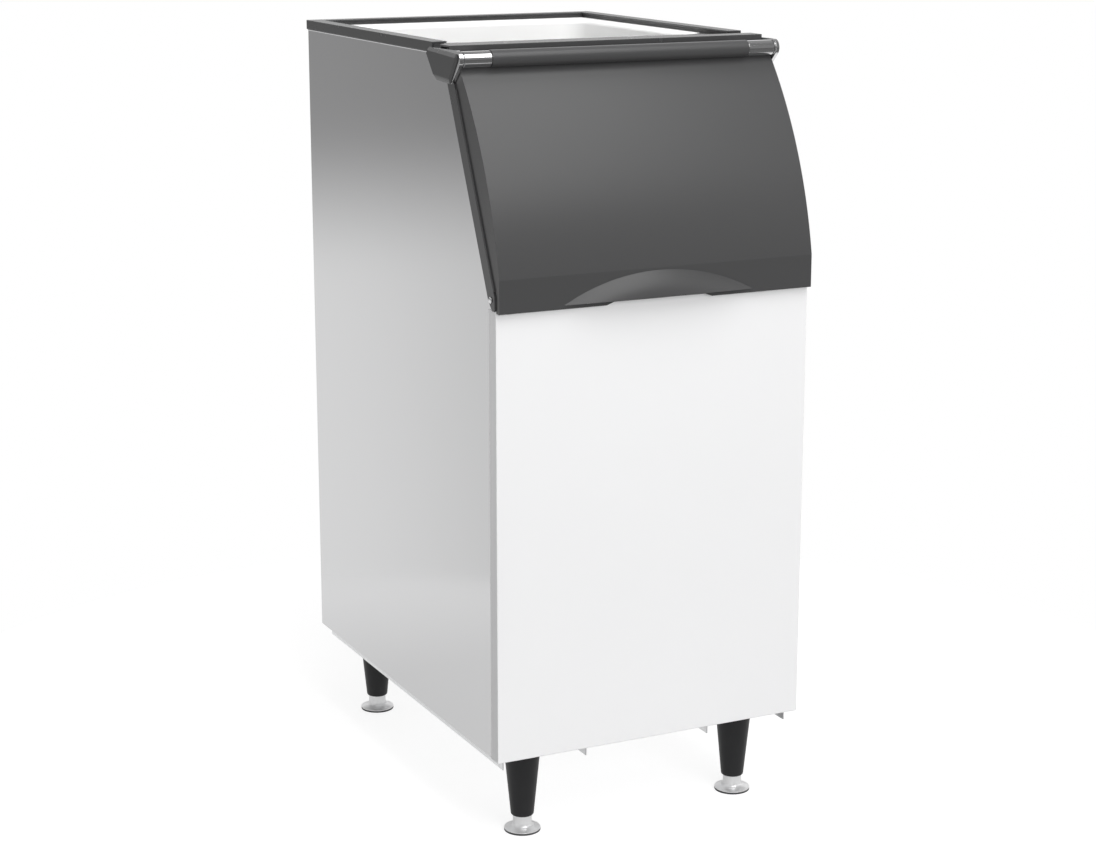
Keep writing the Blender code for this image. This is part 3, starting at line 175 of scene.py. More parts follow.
# Finger grip in the door's lower band
GRIP_HALF_WIDTH = 0.162
GRIP_HEIGHT = 0.040
GRIP_RISE = 0.0060
GRIP_LIP_RISE = 0.0030
GRIP_EDGE_ANGLE = math.radians(40)
GRIP_LIP_ANGLE = math.radians(10)
GRIP_HOLLOW_INSET = 0.014
NOTCH_HALF_WIDTH = 0.081
NOTCH_RAMP = 0.013
NOTCH_HEIGHT = 0.0048
GRIP_RADIUS = (GRIP_HALF_WIDTH ** 2 + GRIP_HEIGHT ** 2) / (2 * GRIP_HEIGHT)
GRIP_ARC = GRIP_HEIGHT / (math.sin(GRIP_EDGE_ANGLE) - math.sin(GRIP_LIP_ANGLE))
GRIP_REACH = GRIP_ARC * (math.cos(GRIP_LIP_ANGLE) - math.cos(GRIP_EDGE_ANGLE))
GRIP_Z = DOOR_BOTTOM + GRIP_RISE + GRIP_LIP_RISE + GRIP_HEIGHT - GRIP_RADIUS

# Legs and feet
LEG_X = 0.1991
LEG_DEPTHS = {"front": 0.0761, "rear": 0.7099}
LEG_TOP_Z = 0.1511
LEG_TOP_RADIUS = 0.031
LEG_FOOT_RADIUS = 0.0188
LEG_TOP_ROUND = 0.0008
LEG_FOOT_ROUND = 0.00294
LEG_FOOT_Z = 0.027
LEG_BORE_DEPTH = 0.085
STEM_RADIUS = 0.0155
STEM_LENGTH = 0.098
STEM_EDGE = 0.001
DISC_RADIUS = 0.030
DISC_RIM = 0.0011
DISC_FILLET = 0.0065
DISC_CROWN = 0.0031
DISC_BOTTOM = 0.0032
DISC_EDGES = [0.0004, 0.0003]         # upper, then lower
PAD_RADIUS = 0.0300
PAD_THICKNESS = 0.0029
PAD_EDGES = [0.0002, 0.0004]

# Drain
DRAIN_DEPTH = 0.64
DRAIN_RADIUS = 0.0166
DRAIN_BORE = 0.0100
DRAIN_FLANGE_RADIUS = 0.026
DRAIN_FLANGE = 0.003
DRAIN_TAIL_Z = 0.1197
DRAIN_EDGES = [0.0012, 0.0003, 0, 0.0008, 0.0008, 0.0005]
WASHER_EDGE = 0.0005

# Screws
SCREW_RADIUS = 0.0040
SCREW_HEAD = 0.0020
FRAME_SCREW_RADIUS = 0.0051
FRAME_SCREW_Q = 0.0172
STRIP_SCREW_S = -0.0040
SCREW_SKIRT_SHARE = 0.35      # the head's straight rim, of its height
RECESS_DEPTH_SHARE = 0.45
RECESS_REACH_SHARE = 0.58
RECESS_WIDTH_SHARE = 0.17
RECESS_CUT_SHARE = 1.5        # how high the recess's cutter reaches

FRONT_Y = -0.3795238468       # world y of the front panel's face

# Facets, and angles in degrees
ROUND_STEPS = 96
FACE_STEPS = 64
DOME_STEPS = 20
DOME_TURNS = 360
CORNER_STEPS = 16
COVER_STEPS = 10
COVER_EASE_STEPS = 2
EDGE_STEPS = 4
EASE_STEPS = 3
BEND_STEPS = 6
RING_STEPS = 5
LEG_STEPS = 8
FILLET_STEPS = 10
TANK_STEPS = 8
BEAD_STEPS = 12
POCKET_STEPS = 32
SCREW_STEPS = 48
SCREW_DOME_STEPS = 10
FLOOR_STEPS = 128
SMOOTH_ANGLE = 32             # below it, shading runs on over an edge
LINER_SMOOTH_ANGLE = 40
DOOR_SMOOTH_ANGLE = 30
EASE_ANGLE = 30               # above it, an edge is eased
COVER_ANGLE = 20
GASKET_ANGLE = 60
FLAT_ANGLE = 0.05             # below it, two faces count as one flat side

# How far a face's normal may be from sideways or from square to it, on a scale of 0 to 1
NEARLY = 0.1
EXACTLY = 0.001
FACES_FRONT = -0.5            # a normal with a lower depth share belongs to the door's front

# How far the edges are eased on the pieces whose solid already has its form; a pair has one row
EASED_EDGES = {
    "back_panel": 0.00035,
    "bottom_panel": 0.00035,
    "side_panel": 0.00035,
    "base_rail": 0.0007,
    "trim": 0.0006,
    "trim_back": 0.0006,
    "front_rail": 0.0006,
    "frame_strip": 0.0004,
    "sill_strip": 0.0004,
    "front_deck": 0.0003,
    "trim_seal": 0.0003,
    "foam_insulation": 0.0003,
    "hinge_base": 0.0005,
    "door_panel": 0.0006,
    "drain_nut": 0.0006,
    "drain_strainer": 0.0003,
}

SIDES = (("left", -1), ("right", 1))

ALONG_X = Matrix(((0, 0, 1), (1, 0, 0), (0, 1, 0)))     # outline (depth, height)
ALONG_Y = Matrix(((1, 0, 0), (0, 0, -1), (0, 1, 0)))    # outline (x, height)
ALONG_Z = Matrix.Identity(3)                            # outline (x, depth)
ON_SLOPE = Matrix((
    (1, 0, 0),
    (0, math.sin(SLOPE_ANGLE), -math.cos(SLOPE_ANGLE)),
    (0, math.cos(SLOPE_ANGLE), math.sin(SLOPE_ANGLE)),
))                                                      # outline (x, s)


# Outlines

def slope(q, s):
    """A (depth, height) point of the sloped frame."""
    depth = q * math.cos(SLOPE_ANGLE) + s * math.sin(SLOPE_ANGLE)
    height = SEAT_Z - q * math.sin(SLOPE_ANGLE) + s * math.cos(SLOPE_ANGLE)
    return depth, height


def slope_at_depth(q, depth):
    """Where the line at q crosses a depth."""
    s = (depth - q * math.cos(SLOPE_ANGLE)) / math.sin(SLOPE_ANGLE)
    return slope(q, s)


def slope_at_height(q, height):
    """Where the line at q crosses a height."""
    s = (height - SEAT_Z + q * math.sin(SLOPE_ANGLE)) / math.cos(SLOPE_ANGLE)
    return slope(q, s)


def arc(centre, radius, start, stop, steps):
    angles = [start + (stop - start) * i / steps for i in range(steps + 1)]
    return [(centre[0] + radius * math.cos(a), centre[1] + radius * math.sin(a)) for a in angles]


def rounded(points, radii, steps=CORNER_STEPS):
    """The outline with its corners rounded; a corner with radius 0 stays sharp."""
    outline = []
    for i, (corner, radius) in enumerate(zip(points, radii)):
        here = Vector(corner)
        if not radius:
            outline.append(tuple(here))
            continue
        before = (Vector(points[i - 1]) - here).normalized()
        after = (Vector(points[(i + 1) % len(points)]) - here).normalized()
        half = before.angle(after) / 2
        centre = here + (before + after).normalized() * radius / math.sin(half)
        first = here + before * radius / math.tan(half) - centre
        last = here + after * radius / math.tan(half) - centre
        turn = first.angle_signed(last)
        for j in range(steps + 1):
            spoke = first.copy()
            spoke.rotate(Matrix.Rotation(-turn * j / steps, 2))
            outline.append(tuple(centre + spoke))
    return outline


# Solids, with their points at their place in the model

def new_piece(name, work):
    bmesh.ops.recalc_face_normals(work, faces=work.faces)
    mesh = bpy.data.meshes.new(name)
    work.to_mesh(mesh)
    work.free()
    piece = bpy.data.objects.new(name, mesh)
    bpy.context.scene.collection.objects.link(piece)
    return piece


def loft(name, rings):
    """A skin over rings of points, each with the same count, with flat ends."""
    work = bmesh.new()
    loops = [[work.verts.new(point) for point in ring] for ring in rings]
    count = len(loops[0])
    work.faces.new(loops[0])
    work.faces.new(loops[-1])
    for one, other in zip(loops, loops[1:]):
        for i in range(count):
            j = (i + 1) % count
            work.faces.new((one[i], one[j], other[j], other[i]))
    return new_piece(name, work)


def prism(outline, low, high, axes=ALONG_X, height=0.0):
    """A flat outline drawn out from low to high, square to its plane."""
    start = Vector((0, FRONT_Y, height))
    rings = [[start + axes @ Vector((a, b, level)) for a, b in outline] for level in (low, high)]
    return loft("prism", rings)


def block(low, high):
    """A box between two corners, in (x, depth, height)."""
    outline = [(low[0], low[1]), (high[0], low[1]), (high[0], high[1]), (low[0], high[1])]
    return prism(outline, low[2], high[2], ALONG_Z)


def turned(profile, place, axes=ALONG_Z, steps=ROUND_STEPS, closed=False):
    """A profile of (radius, height) turned about its axis; closed for a ring."""
    work = bmesh.new()
    start = Vector(place)
    rings = []
    for radius, height in profile:
        if radius < TINY:
            rings.append([work.verts.new(start + axes @ Vector((0, 0, height)))] * steps)
            continue
        ring = []
        for i in range(steps):
            angle = math.tau * i / steps
            spoke = Vector((radius * math.cos(angle), radius * math.sin(angle), height))
            ring.append(work.verts.new(start + axes @ spoke))
        rings.append(ring)
    pairs = list(zip(rings, rings[1:]))
    if closed:
        pairs.append((rings[-1], rings[0]))
    for one, other in pairs:
        for i in range(steps):
            j = (i + 1) % steps
            corners = list(dict.fromkeys((one[i], one[j], other[j], other[i])))
            if len(corners) > 2:
                work.faces.new(corners)
    return new_piece("turned", work)


def rod(radius, low, high, depth, height, edge=0.0, steps=ROUND_STEPS):
    """A round bar along X about a line at a depth and a height."""
    bar = [(0, high), (radius, high), (radius, low), (0, low)]
    if edge:
        bar = rounded(bar, [0, edge, edge, 0], EDGE_STEPS)
    return turned(bar, (0, FRONT_Y + depth, height), ALONG_X, steps)


def tube(radius, bore, low, high, depth, height, edge):
    """A tube along X about a line at a depth and a height, with rounded edges."""
    corners = [(radius, high), (radius, low), (bore, low), (bore, high)]
    ring = rounded(corners, [edge] * len(corners), EDGE_STEPS)
    return turned(ring, (0, FRONT_Y + depth, height), ALONG_X, closed=True)


def apply(piece):
    """Turns the piece's modifiers into plain mesh."""
    bpy.context.view_layer.update()
    source = piece.evaluated_get(bpy.context.evaluated_depsgraph_get())
    mesh = bpy.data.meshes.new_from_object(source)
    piece.modifiers.clear()
    old = piece.data
    piece.data = mesh
    bpy.data.meshes.remove(old)


def combine(body, tool, operation):
    modifier = body.modifiers.new("join", "BOOLEAN")
    modifier.operation = operation
    modifier.object = tool
    modifier.solver = "EXACT"
    apply(body)
    bpy.data.objects.remove(tool, do_unlink=True)
    return body


def cut(body, *tools):
    for tool in tools:
        combine(body, tool, "DIFFERENCE")
    return body


def add(body, *tools):
    for tool in tools:
        combine(body, tool, "UNION")
    return body


def round_edges(piece, width, segments, chosen):
    """Rounds the edges that a test picks."""
    work = bmesh.new()
    work.from_mesh(piece.data)
    work.normal_update()
    edges = [edge for edge in work.edges if len(edge.link_faces) == 2 and chosen(edge)]
    bmesh.ops.bevel(
        work, geom=edges, offset=width, segments=segments, profile=0.5,
        affect="EDGES", clamp_overlap=True)
    work.to_mesh(piece.data)
    work.free()
    return piece


def sharper_than(degrees):
    limit = math.radians(degrees)
    return lambda edge: edge.calc_face_angle(0.0) > limit


def clean(piece):
    """Joins loose corners and merges the triangles of each flat side into one face."""
    work = bmesh.new()
    work.from_mesh(piece.data)
    bmesh.ops.remove_doubles(work, verts=work.verts, dist=LOOSE)
    bmesh.ops.dissolve_limit(
        work, angle_limit=math.radians(FLAT_ANGLE), verts=work.verts, edges=work.edges)
    work.to_mesh(piece.data)
    work.free()
    return piece


def smooth(piece, degrees):
    """Smooth shading up to an angle, with flat faces kept flat."""
    piece.data.shade_smooth()
    piece.data.set_sharp_from_angle(angle=math.radians(degrees))
    weighted = piece.modifiers.new("normals", "WEIGHTED_NORMAL")
    weighted.keep_sharp = True


def stands_for(piece, node, degrees=SMOOTH_ANGLE):
    """Puts the piece in the node's stead, with its name, body, slot and material."""
    solid = frame["nodes"][node]
    slot = solid.data.materials[0].name
    piece.name = node + "_fine"
    piece.data.name = piece.name
    piece.data.materials.clear()
    piece.data.materials.append(MATERIALS[slot])
    for polygon in piece.data.polygons:
        polygon.material_index = 0
    smooth(piece, degrees)
    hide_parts(node)
    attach(piece, solid.parent.name.removeprefix("body:"))


def plain_copy(node):
    """A copy of the node's solid, with each flat side as one face."""
    piece = bpy.data.objects.new(node, frame["nodes"][node].data.copy())
    bpy.context.scene.collection.objects.link(piece)
    return clean(piece)


def eased_copy(node):
    """A copy of the node's solid with its edges eased."""
    width = EASED_EDGES[node.removesuffix("_left").removesuffix("_right")]
    return round_edges(plain_copy(node), width, EASE_STEPS, sharper_than(EASE_ANGLE))


# Materials

MATERIALS = {}


def math_node(nodes, links, operation, *values):
    """The result of a maths node fed with other nodes' results."""
    node = nodes.new("ShaderNodeMath")
    node.operation = operation
    for value, socket in zip(values, node.inputs):
        links.new(value, socket)
    return node.outputs[0]


def mapped(nodes, links, value, source=(0.0, 1.0), target=(0.0, 1.0)):
    """The value moved from one range to another, and held at its ends."""
    node = nodes.new("ShaderNodeMapRange")
    for name, level in zip(("From Min", "From Max", "To Min", "To Max"), source + target):
        node.inputs[name].default_value = level
    links.new(value, node.inputs["Value"])
    return node.outputs["Result"]


class Look:
    """A material with one main shader, and its procedural detail built up by short calls."""

    def __init__(self, slot, colour, roughness, metallic=0.0, specular=0.5):
        self.material = bpy.data.materials.new(slot + "_look")
        self.material.use_nodes = True
        self.nodes = self.material.node_tree.nodes
        self.links = self.material.node_tree.links
        self.shader = self.nodes["Principled BSDF"]
        self.shader.inputs["Base Color"].default_value = (*colour, 1.0)
        self.shader.inputs["Roughness"].default_value = roughness
        self.shader.inputs["Metallic"].default_value = metallic
        self.shader.inputs["Specular IOR Level"].default_value = specular
        self.material.diffuse_color = (*colour, 1.0)
        self.colour = colour
        self.roughness = roughness
        self.place = self.nodes.new("ShaderNodeTexCoord")
        self.normal = None
        MATERIALS[slot] = self.material

    def noise(self, scale, detail=4.0, stretch=(1.0, 1.0, 1.0), rough=0.5):
        """A noise pattern in metres; stretch packs it closer along an axis."""
        mapping = self.nodes.new("ShaderNodeMapping")
        mapping.inputs["Scale"].default_value = stretch
        self.links.new(self.place.outputs["Object"], mapping.inputs["Vector"])
        texture = self.nodes.new("ShaderNodeTexNoise")
        texture.inputs["Scale"].default_value = scale
        texture.inputs["Detail"].default_value = detail
        texture.inputs["Roughness"].default_value = rough
        self.links.new(mapping.outputs["Vector"], texture.inputs["Vector"])
        return texture.outputs["Fac"]

    def cells(self, scale):
        """A pattern of flat crystals, each with its own shade."""
        texture = self.nodes.new("ShaderNodeTexVoronoi")
        texture.inputs["Scale"].default_value = scale
        self.links.new(self.place.outputs["Object"], texture.inputs["Vector"])
        apart = self.nodes.new("ShaderNodeSeparateColor")
        self.links.new(texture.outputs["Color"], apart.inputs["Color"])
        return apart.outputs["Red"]

    def vary_colour(self, pattern, amount):
        """Makes the colour a little darker and lighter with the pattern."""
        mixer = self.nodes.new("ShaderNodeMix")
        mixer.data_type = "RGBA"
        dark, light = [tuple(c * (1 + way * amount) for c in self.colour) for way in (-1, 1)]
        mixer.inputs["A"].default_value = (*dark, 1.0)
        mixer.inputs["B"].default_value = (*light, 1.0)
        self.links.new(pattern, mixer.inputs["Factor"])
        self.links.new(mixer.outputs["Result"], self.shader.inputs["Base Color"])
        return self

    def vary_roughness(self, pattern, amount):
        target = (self.roughness - amount, self.roughness + amount)
        level = mapped(self.nodes, self.links, pattern, target=target)
        self.links.new(level, self.shader.inputs["Roughness"])
        return self

    def bump(self, pattern, strength, distance):
        node = self.nodes.new("ShaderNodeBump")
        node.inputs["Strength"].default_value = strength
        node.inputs["Distance"].default_value = distance
        self.links.new(pattern, node.inputs["Height"])
        if self.normal:
            self.links.new(self.normal, node.inputs["Normal"])
        self.normal = node.outputs["Normal"]
        self.links.new(self.normal, self.shader.inputs["Normal"])
        return self


def painted_sheet():
    look = Look("front_sheet", (0.88, 0.88, 0.885), 0.30)
    fine = look.noise(900, 3)
    broad = look.noise(6, 3)
    look.vary_colour(broad, 0.008).vary_roughness(look.noise(40, 4), 0.03)
    look.bump(fine, 0.05, 0.0002).bump(broad, 0.10, 0.002)


def satin_steel():
    look = Look("side_sheet", (0.62, 0.62, 0.625), 0.13, metallic=1.0)
    grain = look.noise(60, 5, (1.0, 1.0, 40.0), 0.6)
    broad = look.noise(5, 3)
    look.vary_colour(grain, 0.012).vary_roughness(grain, 0.02)
    look.bump(broad, 0.04, 0.002)


def galvanised_steel():
    look = Look("galvanised", (0.80, 0.805, 0.81), 0.34, metallic=1.0)
    crystals = look.cells(110)
    look.vary_colour(crystals, 0.07).vary_roughness(crystals, 0.06)
    look.bump(look.noise(300, 3), 0.05, 0.0003)


def moulded_plastic(slot, colour, roughness, grain_scale, grain_strength, specular=0.5):
    look = Look(slot, colour, roughness, specular=specular)
    look.vary_colour(look.noise(9, 3), 0.012)
    look.vary_roughness(look.noise(30, 4), 0.01)
    look.bump(look.noise(grain_scale, 3), grain_strength, 0.0002)


def bright_steel(slot, colour, roughness, metallic=1.0):
    look = Look(slot, colour, roughness, metallic=metallic)
    look.vary_colour(look.noise(25, 4), 0.015)
    look.vary_roughness(look.noise(120, 5), 0.02)
    look.bump(look.noise(400, 4), 0.02, 0.0001)


def foam_block():
    look = Look("foam", (0.78, 0.70, 0.48), 0.85, specular=0.2)
    bubbles = look.noise(700, 3)
    look.vary_colour(look.noise(20, 4), 0.10)
    look.bump(bubbles, 0.5, 0.0008)


def make_materials():
    painted_sheet()
    satin_steel()
    galvanised_steel()
    foam_block()
    bright_steel("bright_metal", (0.76, 0.76, 0.765), 0.10)
    bright_steel("foot_metal", (0.90, 0.90, 0.905), 0.32, metallic=0.6)
    moulded_plastic("liner_plastic", (0.92, 0.92, 0.915), 0.38, 500, 0.05)
    moulded_plastic("dark_trim", (0.058, 0.058, 0.059), 0.27, 1500, 0.05, specular=0.45)
    moulded_plastic("door_plastic", (0.060, 0.060, 0.061), 0.31, 1400, 0.05, specular=0.42)
    moulded_plastic("leg_plastic", (0.019, 0.019, 0.020), 0.42, 1200, 0.08, specular=0.30)
    moulded_plastic("drain_plastic", (0.74, 0.74, 0.73), 0.40, 900, 0.08)
    moulded_plastic("seal_rubber", (0.055, 0.055, 0.056), 0.40, 2200, 0.08, specular=0.40)


# Cabinet

def front_panel():
    tray = block(
        (-HALF_WIDTH, 0, PANEL_BOTTOM), (HALF_WIDTH, FRONT_RETURN, FRONT_TOP))
    round_edges(tray, SHEET_BEND, BEND_STEPS, is_front_bend)
    inner = block(
        (-HALF_WIDTH + SHEET, SHEET, PANEL_BOTTOM + SHEET),
        (HALF_WIDTH - SHEET, FRONT_RETURN + OVERRUN, FRONT_TOP + OVERRUN))
    stands_for(cut(tray, inner), "front_panel")


def is_front_bend(edge):
    """True for the tray's bends: down both sides, along the bottom, and its lower corners."""
    ends = [vert.co for vert in edge.verts]
    on_face = all(abs(end.y - FRONT_Y) < TINY for end in ends)
    top = all(abs(end.z - FRONT_TOP) < TINY for end in ends)
    upright = all(abs(end.y - FRONT_Y - FRONT_RETURN) > TINY for end in ends)
    lower = all(abs(end.z - PANEL_BOTTOM) < TINY for end in ends) and ends[0].x * ends[1].x > 0
    return (on_face and not top and upright) or lower


def liner_plan(grow, height):
    """The tank's plan at a height, grown outwards by an amount."""
    half = LINER_HALF + grow
    rear = LINER_REAR + grow
    front = LINER_FRONT_INSET - grow
    radius = LINER_CORNER + LINER_WALL + grow
    plan = rounded([(-half, front), (half, front), (half, rear), (-half, rear)], [radius] * 4)
    return [Vector((x, FRONT_Y + depth, height)) for x, depth in plan]


def tank(grow, low, high, lip=0.0):
    """A tank with a rounded floor, and a flared upper edge if it has a lip radius."""
    radius = LINER_FLOOR_ROUND + LINER_WALL + grow
    quarter = [math.pi / 2 * i / TANK_STEPS for i in range(TANK_STEPS + 1)]
    rings = []
    for angle in quarter:
        step_in = radius * (1 - math.sin(angle))
        rings.append(liner_plan(grow - step_in, low + radius * (1 - math.cos(angle))))
    if lip:
        for angle in quarter:
            flare = lip * (1 - math.cos(angle))
            rings.append(liner_plan(grow + flare, LIP_TOP - lip * (1 - math.sin(angle))))
        rings.append(liner_plan(grow + lip, high))
    else:
        rings.append(liner_plan(grow, high))
    return loft("tank", rings)


def sill_block(grow, front, low, high):
    half = LINER_HALF + grow
    return block((-half, front, low), (half, CABINET_DEPTH / 2, high))


def slope_cutter(q, floor):
    """Everything in front of the frame's plane at q, above a height."""
    high = TRIM_TOP + OVERRUN
    far = -BAND_STANDOFF - OVERRUN
    nose = STRIP_NOSE + STRIP_WEB + FIT
    outline = [
        (nose, floor), slope_at_depth(q, nose), slope_at_height(q, high), (far, high), (far, floor)]
    return prism(outline, -HALF_WIDTH - OVERRUN, HALF_WIDTH + OVERRUN)


def liner():
    shell = tank(0, LINER_UNDERSIDE, LIP_TOP - LIP_THICKNESS / 2)
    add(shell, sill_block(0, SILL_SETBACK, SILL_TOP - SILL_THICKNESS, LIP_BOTTOM + FIT))
    lip_half = HALF_WIDTH - SHEET + FIT
    lip_front = slope_at_height(0, LIP_BOTTOM)[0]
    add(shell, block(
        (-lip_half, lip_front, LIP_BOTTOM), (lip_half, CABINET_DEPTH - SHEET, LIP_TOP)))
    above = TRIM_TOP + OVERRUN
    cut(shell, tank(-LINER_WALL, BASIN_FLOOR, above, LIP_ROUND))
    cut(shell, sill_block(-LINER_WALL, -OVERRUN, SILL_TOP, above))
    cut(shell, slope_cutter(WALL_EDGE_Q, SILL_TOP + FIT))
    cut(shell, rod_z(DRAIN_RADIUS + FIT, DRAIN_TAIL_Z, BASIN_FLOOR + OVERRUN))
    stands_for(clean(shell), "liner", LINER_SMOOTH_ANGLE)


def rod_z(radius, low, high):
    """An upright cutter about the drain's axis."""
    bar = [(0, high), (radius, high), (radius, low), (0, low)]
    return turned(bar, (0, FRONT_Y + DRAIN_DEPTH, 0))


# Hinge

def cover_corners():
    return [
        (HINGE_DEPTH + a * COVER_LENGTH, HINGE_Z + b * HINGE_HEIGHT)
        for a, b in zip(COVER_LENGTH_SHARES, COVER_HEIGHT_SHARES)]


def screw_places():
    """Depth and height of the screws that hold a hinge plate."""
    length = TRIM_FRONT_DEPTH - HINGE_DEPTH
    return [(HINGE_DEPTH + a * length, HINGE_Z + b * length) for a, b in HINGE_SCREW_SHARES]


def inset(points, amounts):
    """The outline with each side moved inwards by its own amount; its points run clockwise."""
    inwards = []
    for i, corner in enumerate(points):
        along = (Vector(points[(i + 1) % len(points)]) - Vector(corner)).normalized()
        inwards.append(Vector((along.y, -along.x)))
    moved = []
    for i, corner in enumerate(points):
        sides = Matrix((inwards[i - 1], inwards[i]))
        moved.append(tuple(Vector(corner) + sides.inverted() @ Vector((amounts[i - 1], amounts[i]))))
    return moved


def hinge_cover(side, sign):
    corners = cover_corners()
    count = len(corners)
    face = rounded(inset(corners, COVER_BEVEL_WIDTHS), [COVER_FACE_ROUND] * count, COVER_STEPS)
    rim = rounded(corners, [COVER_ROUND] * count, COVER_STEPS)
    rim_x = sign * (COVER_OUTER - COVER_BEVEL_DEPTH)
    levels = ((face, sign * COVER_OUTER), (rim, rim_x), (rim, sign * COVER_INNER))
    cap = loft("cap", [
        [Vector((x, FRONT_Y + depth, height)) for depth, height in outline]
        for outline, x in levels])
    round_edges(cap, COVER_EASE, COVER_EASE_STEPS, sharper_than(COVER_ANGLE))
    pocket = sorted((sign * (COVER_INNER + HINGE_SCREW_HEAD + FIT), sign * (COVER_INNER - OVERRUN)))
    for depth, height in screw_places():
        cut(cap, rod(HINGE_SCREW_RADIUS + FIT, *pocket, depth, height, steps=POCKET_STEPS))
    stands_for(cap, "hinge_cover_" + side)


def outwards(sign):
    """The turning axes that point away from the cabinet on one side."""
    return ALONG_X if sign > 0 else Matrix.Rotation(math.pi, 3, "Z") @ ALONG_X


def domed_head(place, axes, radius, height):
    """A plain domed head, which stands up along the axis from the place."""
    angles = [math.pi / 2 * i / SCREW_DOME_STEPS for i in range(1, SCREW_DOME_STEPS + 1)]
    skirt = SCREW_SKIRT_SHARE
    dome = [(radius * math.sin(a), height * (skirt + (1 - skirt) * math.cos(a))) for a in angles]
    return turned([(0, height)] + dome + [(radius, 0), (0, 0)], place, axes, SCREW_STEPS)


def screw_head(place, axes, radius=SCREW_RADIUS, height=SCREW_HEAD):
    """A domed head with a cross recess."""
    head = domed_head(place, axes, radius, height)
    reach = radius * RECESS_REACH_SHARE
    width = radius * RECESS_WIDTH_SHARE
    low = height * (1 - RECESS_DEPTH_SHARE)
    cross = [(reach, width), (width, width), (width, reach), (-width, reach), (-width, width),
             (-reach, width), (-reach, -width), (-width, -width), (-width, -reach), (width, -reach),
             (width, -width), (reach, -width)]
    rings = [[Vector(place) + axes @ Vector((a, b, level)) for a, b in cross]
             for level in (low, height * RECESS_CUT_SHARE)]
    return cut(head, loft("recess", rings))


def hinge(side, sign):
    hinge_cover(side, sign)
    stands_for(eased_copy("hinge_base_" + side), "hinge_base_" + side)
    ends = sorted((sign * SLEEVE_OUTER, sign * (SLEEVE_OUTER - SLEEVE_LENGTH)))
    sleeve = tube(SLEEVE_RADIUS, HINGE_BORE, *ends, HINGE_DEPTH, HINGE_Z, HINGE_EDGE)
    stands_for(sleeve, "hinge_sleeve_" + side)
    ends = sorted((sign * ROLL_HALF, sign * (ROLL_HALF - BUSH_LENGTH)))
    bush = tube(BUSH_RADIUS, HINGE_BORE, *ends, HINGE_DEPTH, HINGE_Z, BUSH_EDGE)
    stands_for(bush, "hinge_bush_" + side)
    for end, (depth, height) in zip(("front", "rear"), screw_places()):
        place = (sign * COVER_INNER, FRONT_Y + depth, height)
        head = screw_head(place, outwards(sign), HINGE_SCREW_RADIUS, HINGE_SCREW_HEAD)
        stands_for(head, "hinge_screw_" + end + "_" + side)


def hinge_rod():
    half = BASE_OUTER - ROD_END_INSET
    bar = rod(ROD_RADIUS, -half, half, HINGE_DEPTH, HINGE_Z, HINGE_EDGE)
    stands_for(bar, "hinge_rod")


def frame_screw(side, sign):
    depth, height = slope(FRAME_SCREW_Q, STRIP_SCREW_S)
    place = (sign * (STRIP_OUTER + FIT), FRONT_Y + depth, height)
    head = domed_head(place, outwards(sign), FRAME_SCREW_RADIUS, SCREW_HEAD)
    stands_for(head, "frame_screw_" + side)


def back_screw(side, level):
    """The head sits where the solid's box says, and faces backwards."""
    node = "back_screw_" + level + "_" + side
    low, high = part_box(node)
    middle = (low + high) / 2
    backwards = Matrix(((1, 0, 0), (0, 0, 1), (0, -1, 0)))
    head = screw_head((middle.x, low.y, middle.z), backwards, height=high.y - low.y)
    stands_for(head, node)


# Door

def face_arc(inset=0.0):
    """The door's curved face from the fold up to its top, moved inwards by an amount."""
    fold = Vector((-BAND_STANDOFF, FOLD_Z))
    top = Vector((HINGE_DEPTH + FACE_TOP_BEHIND, HINGE_Z - FACE_TOP_BELOW))
    chord = top - fold
    radius = chord.length ** 2 / (8 * FACE_SAG) + FACE_SAG / 2
    inward = Vector((chord.y, -chord.x)).normalized()
    centre = (fold + top) / 2 + inward * (radius - FACE_SAG)
    start = math.atan2(fold.y - centre.y, fold.x - centre.x)
    sweep = 2 * math.asin(chord.length / 2 / radius)
    if start < 0:
        start += 2 * math.pi
    return arc(centre, radius - inset, start, start - sweep, FACE_STEPS)


def door_rear_top():
    return slope_at_depth(0, HINGE_DEPTH + DOOR_REAR_BEHIND)


def between_face_and_cheek(edge):
    normals = [face.normal for face in edge.link_faces]
    cheek = any(abs(normal.x) > 1 - NEARLY for normal in normals)
    front = any(abs(normal.x) < NEARLY and normal.y < FACES_FRONT for normal in normals)
    return cheek and front


def between_cheek_and_rest(edge):
    normals = [face.normal for face in edge.link_faces]
    cheek = any(abs(normal.x) > 1 - EXACTLY for normal in normals)
    other = any(abs(normal.x) < EXACTLY and normal.y > FACES_FRONT for normal in normals)
    return cheek and other


def door_block():
    """The door's outer form, full width, with rounded edges round the curved face."""
    face = face_arc()
    outline = [(-BAND_STANDOFF, DOOR_BOTTOM)] + face + [
        door_rear_top(), slope_at_depth(0, -CHEEK_GAP), (-CHEEK_GAP, DOOR_BOTTOM)]
    radii = [DOOR_SMALL_ROUND, DOOR_FOLD_ROUND] + [0] * (len(outline) - 2)
    radii[-3] = DOOR_SMALL_ROUND
    body = prism(rounded(outline, radii, EDGE_STEPS), -DOOR_HALF, DOOR_HALF)
    round_edges(body, DOOR_EDGE_ROUND, BEND_STEPS, between_face_and_cheek)
    return round_edges(body, DOOR_SMALL_ROUND, EASE_STEPS, between_cheek_and_rest)


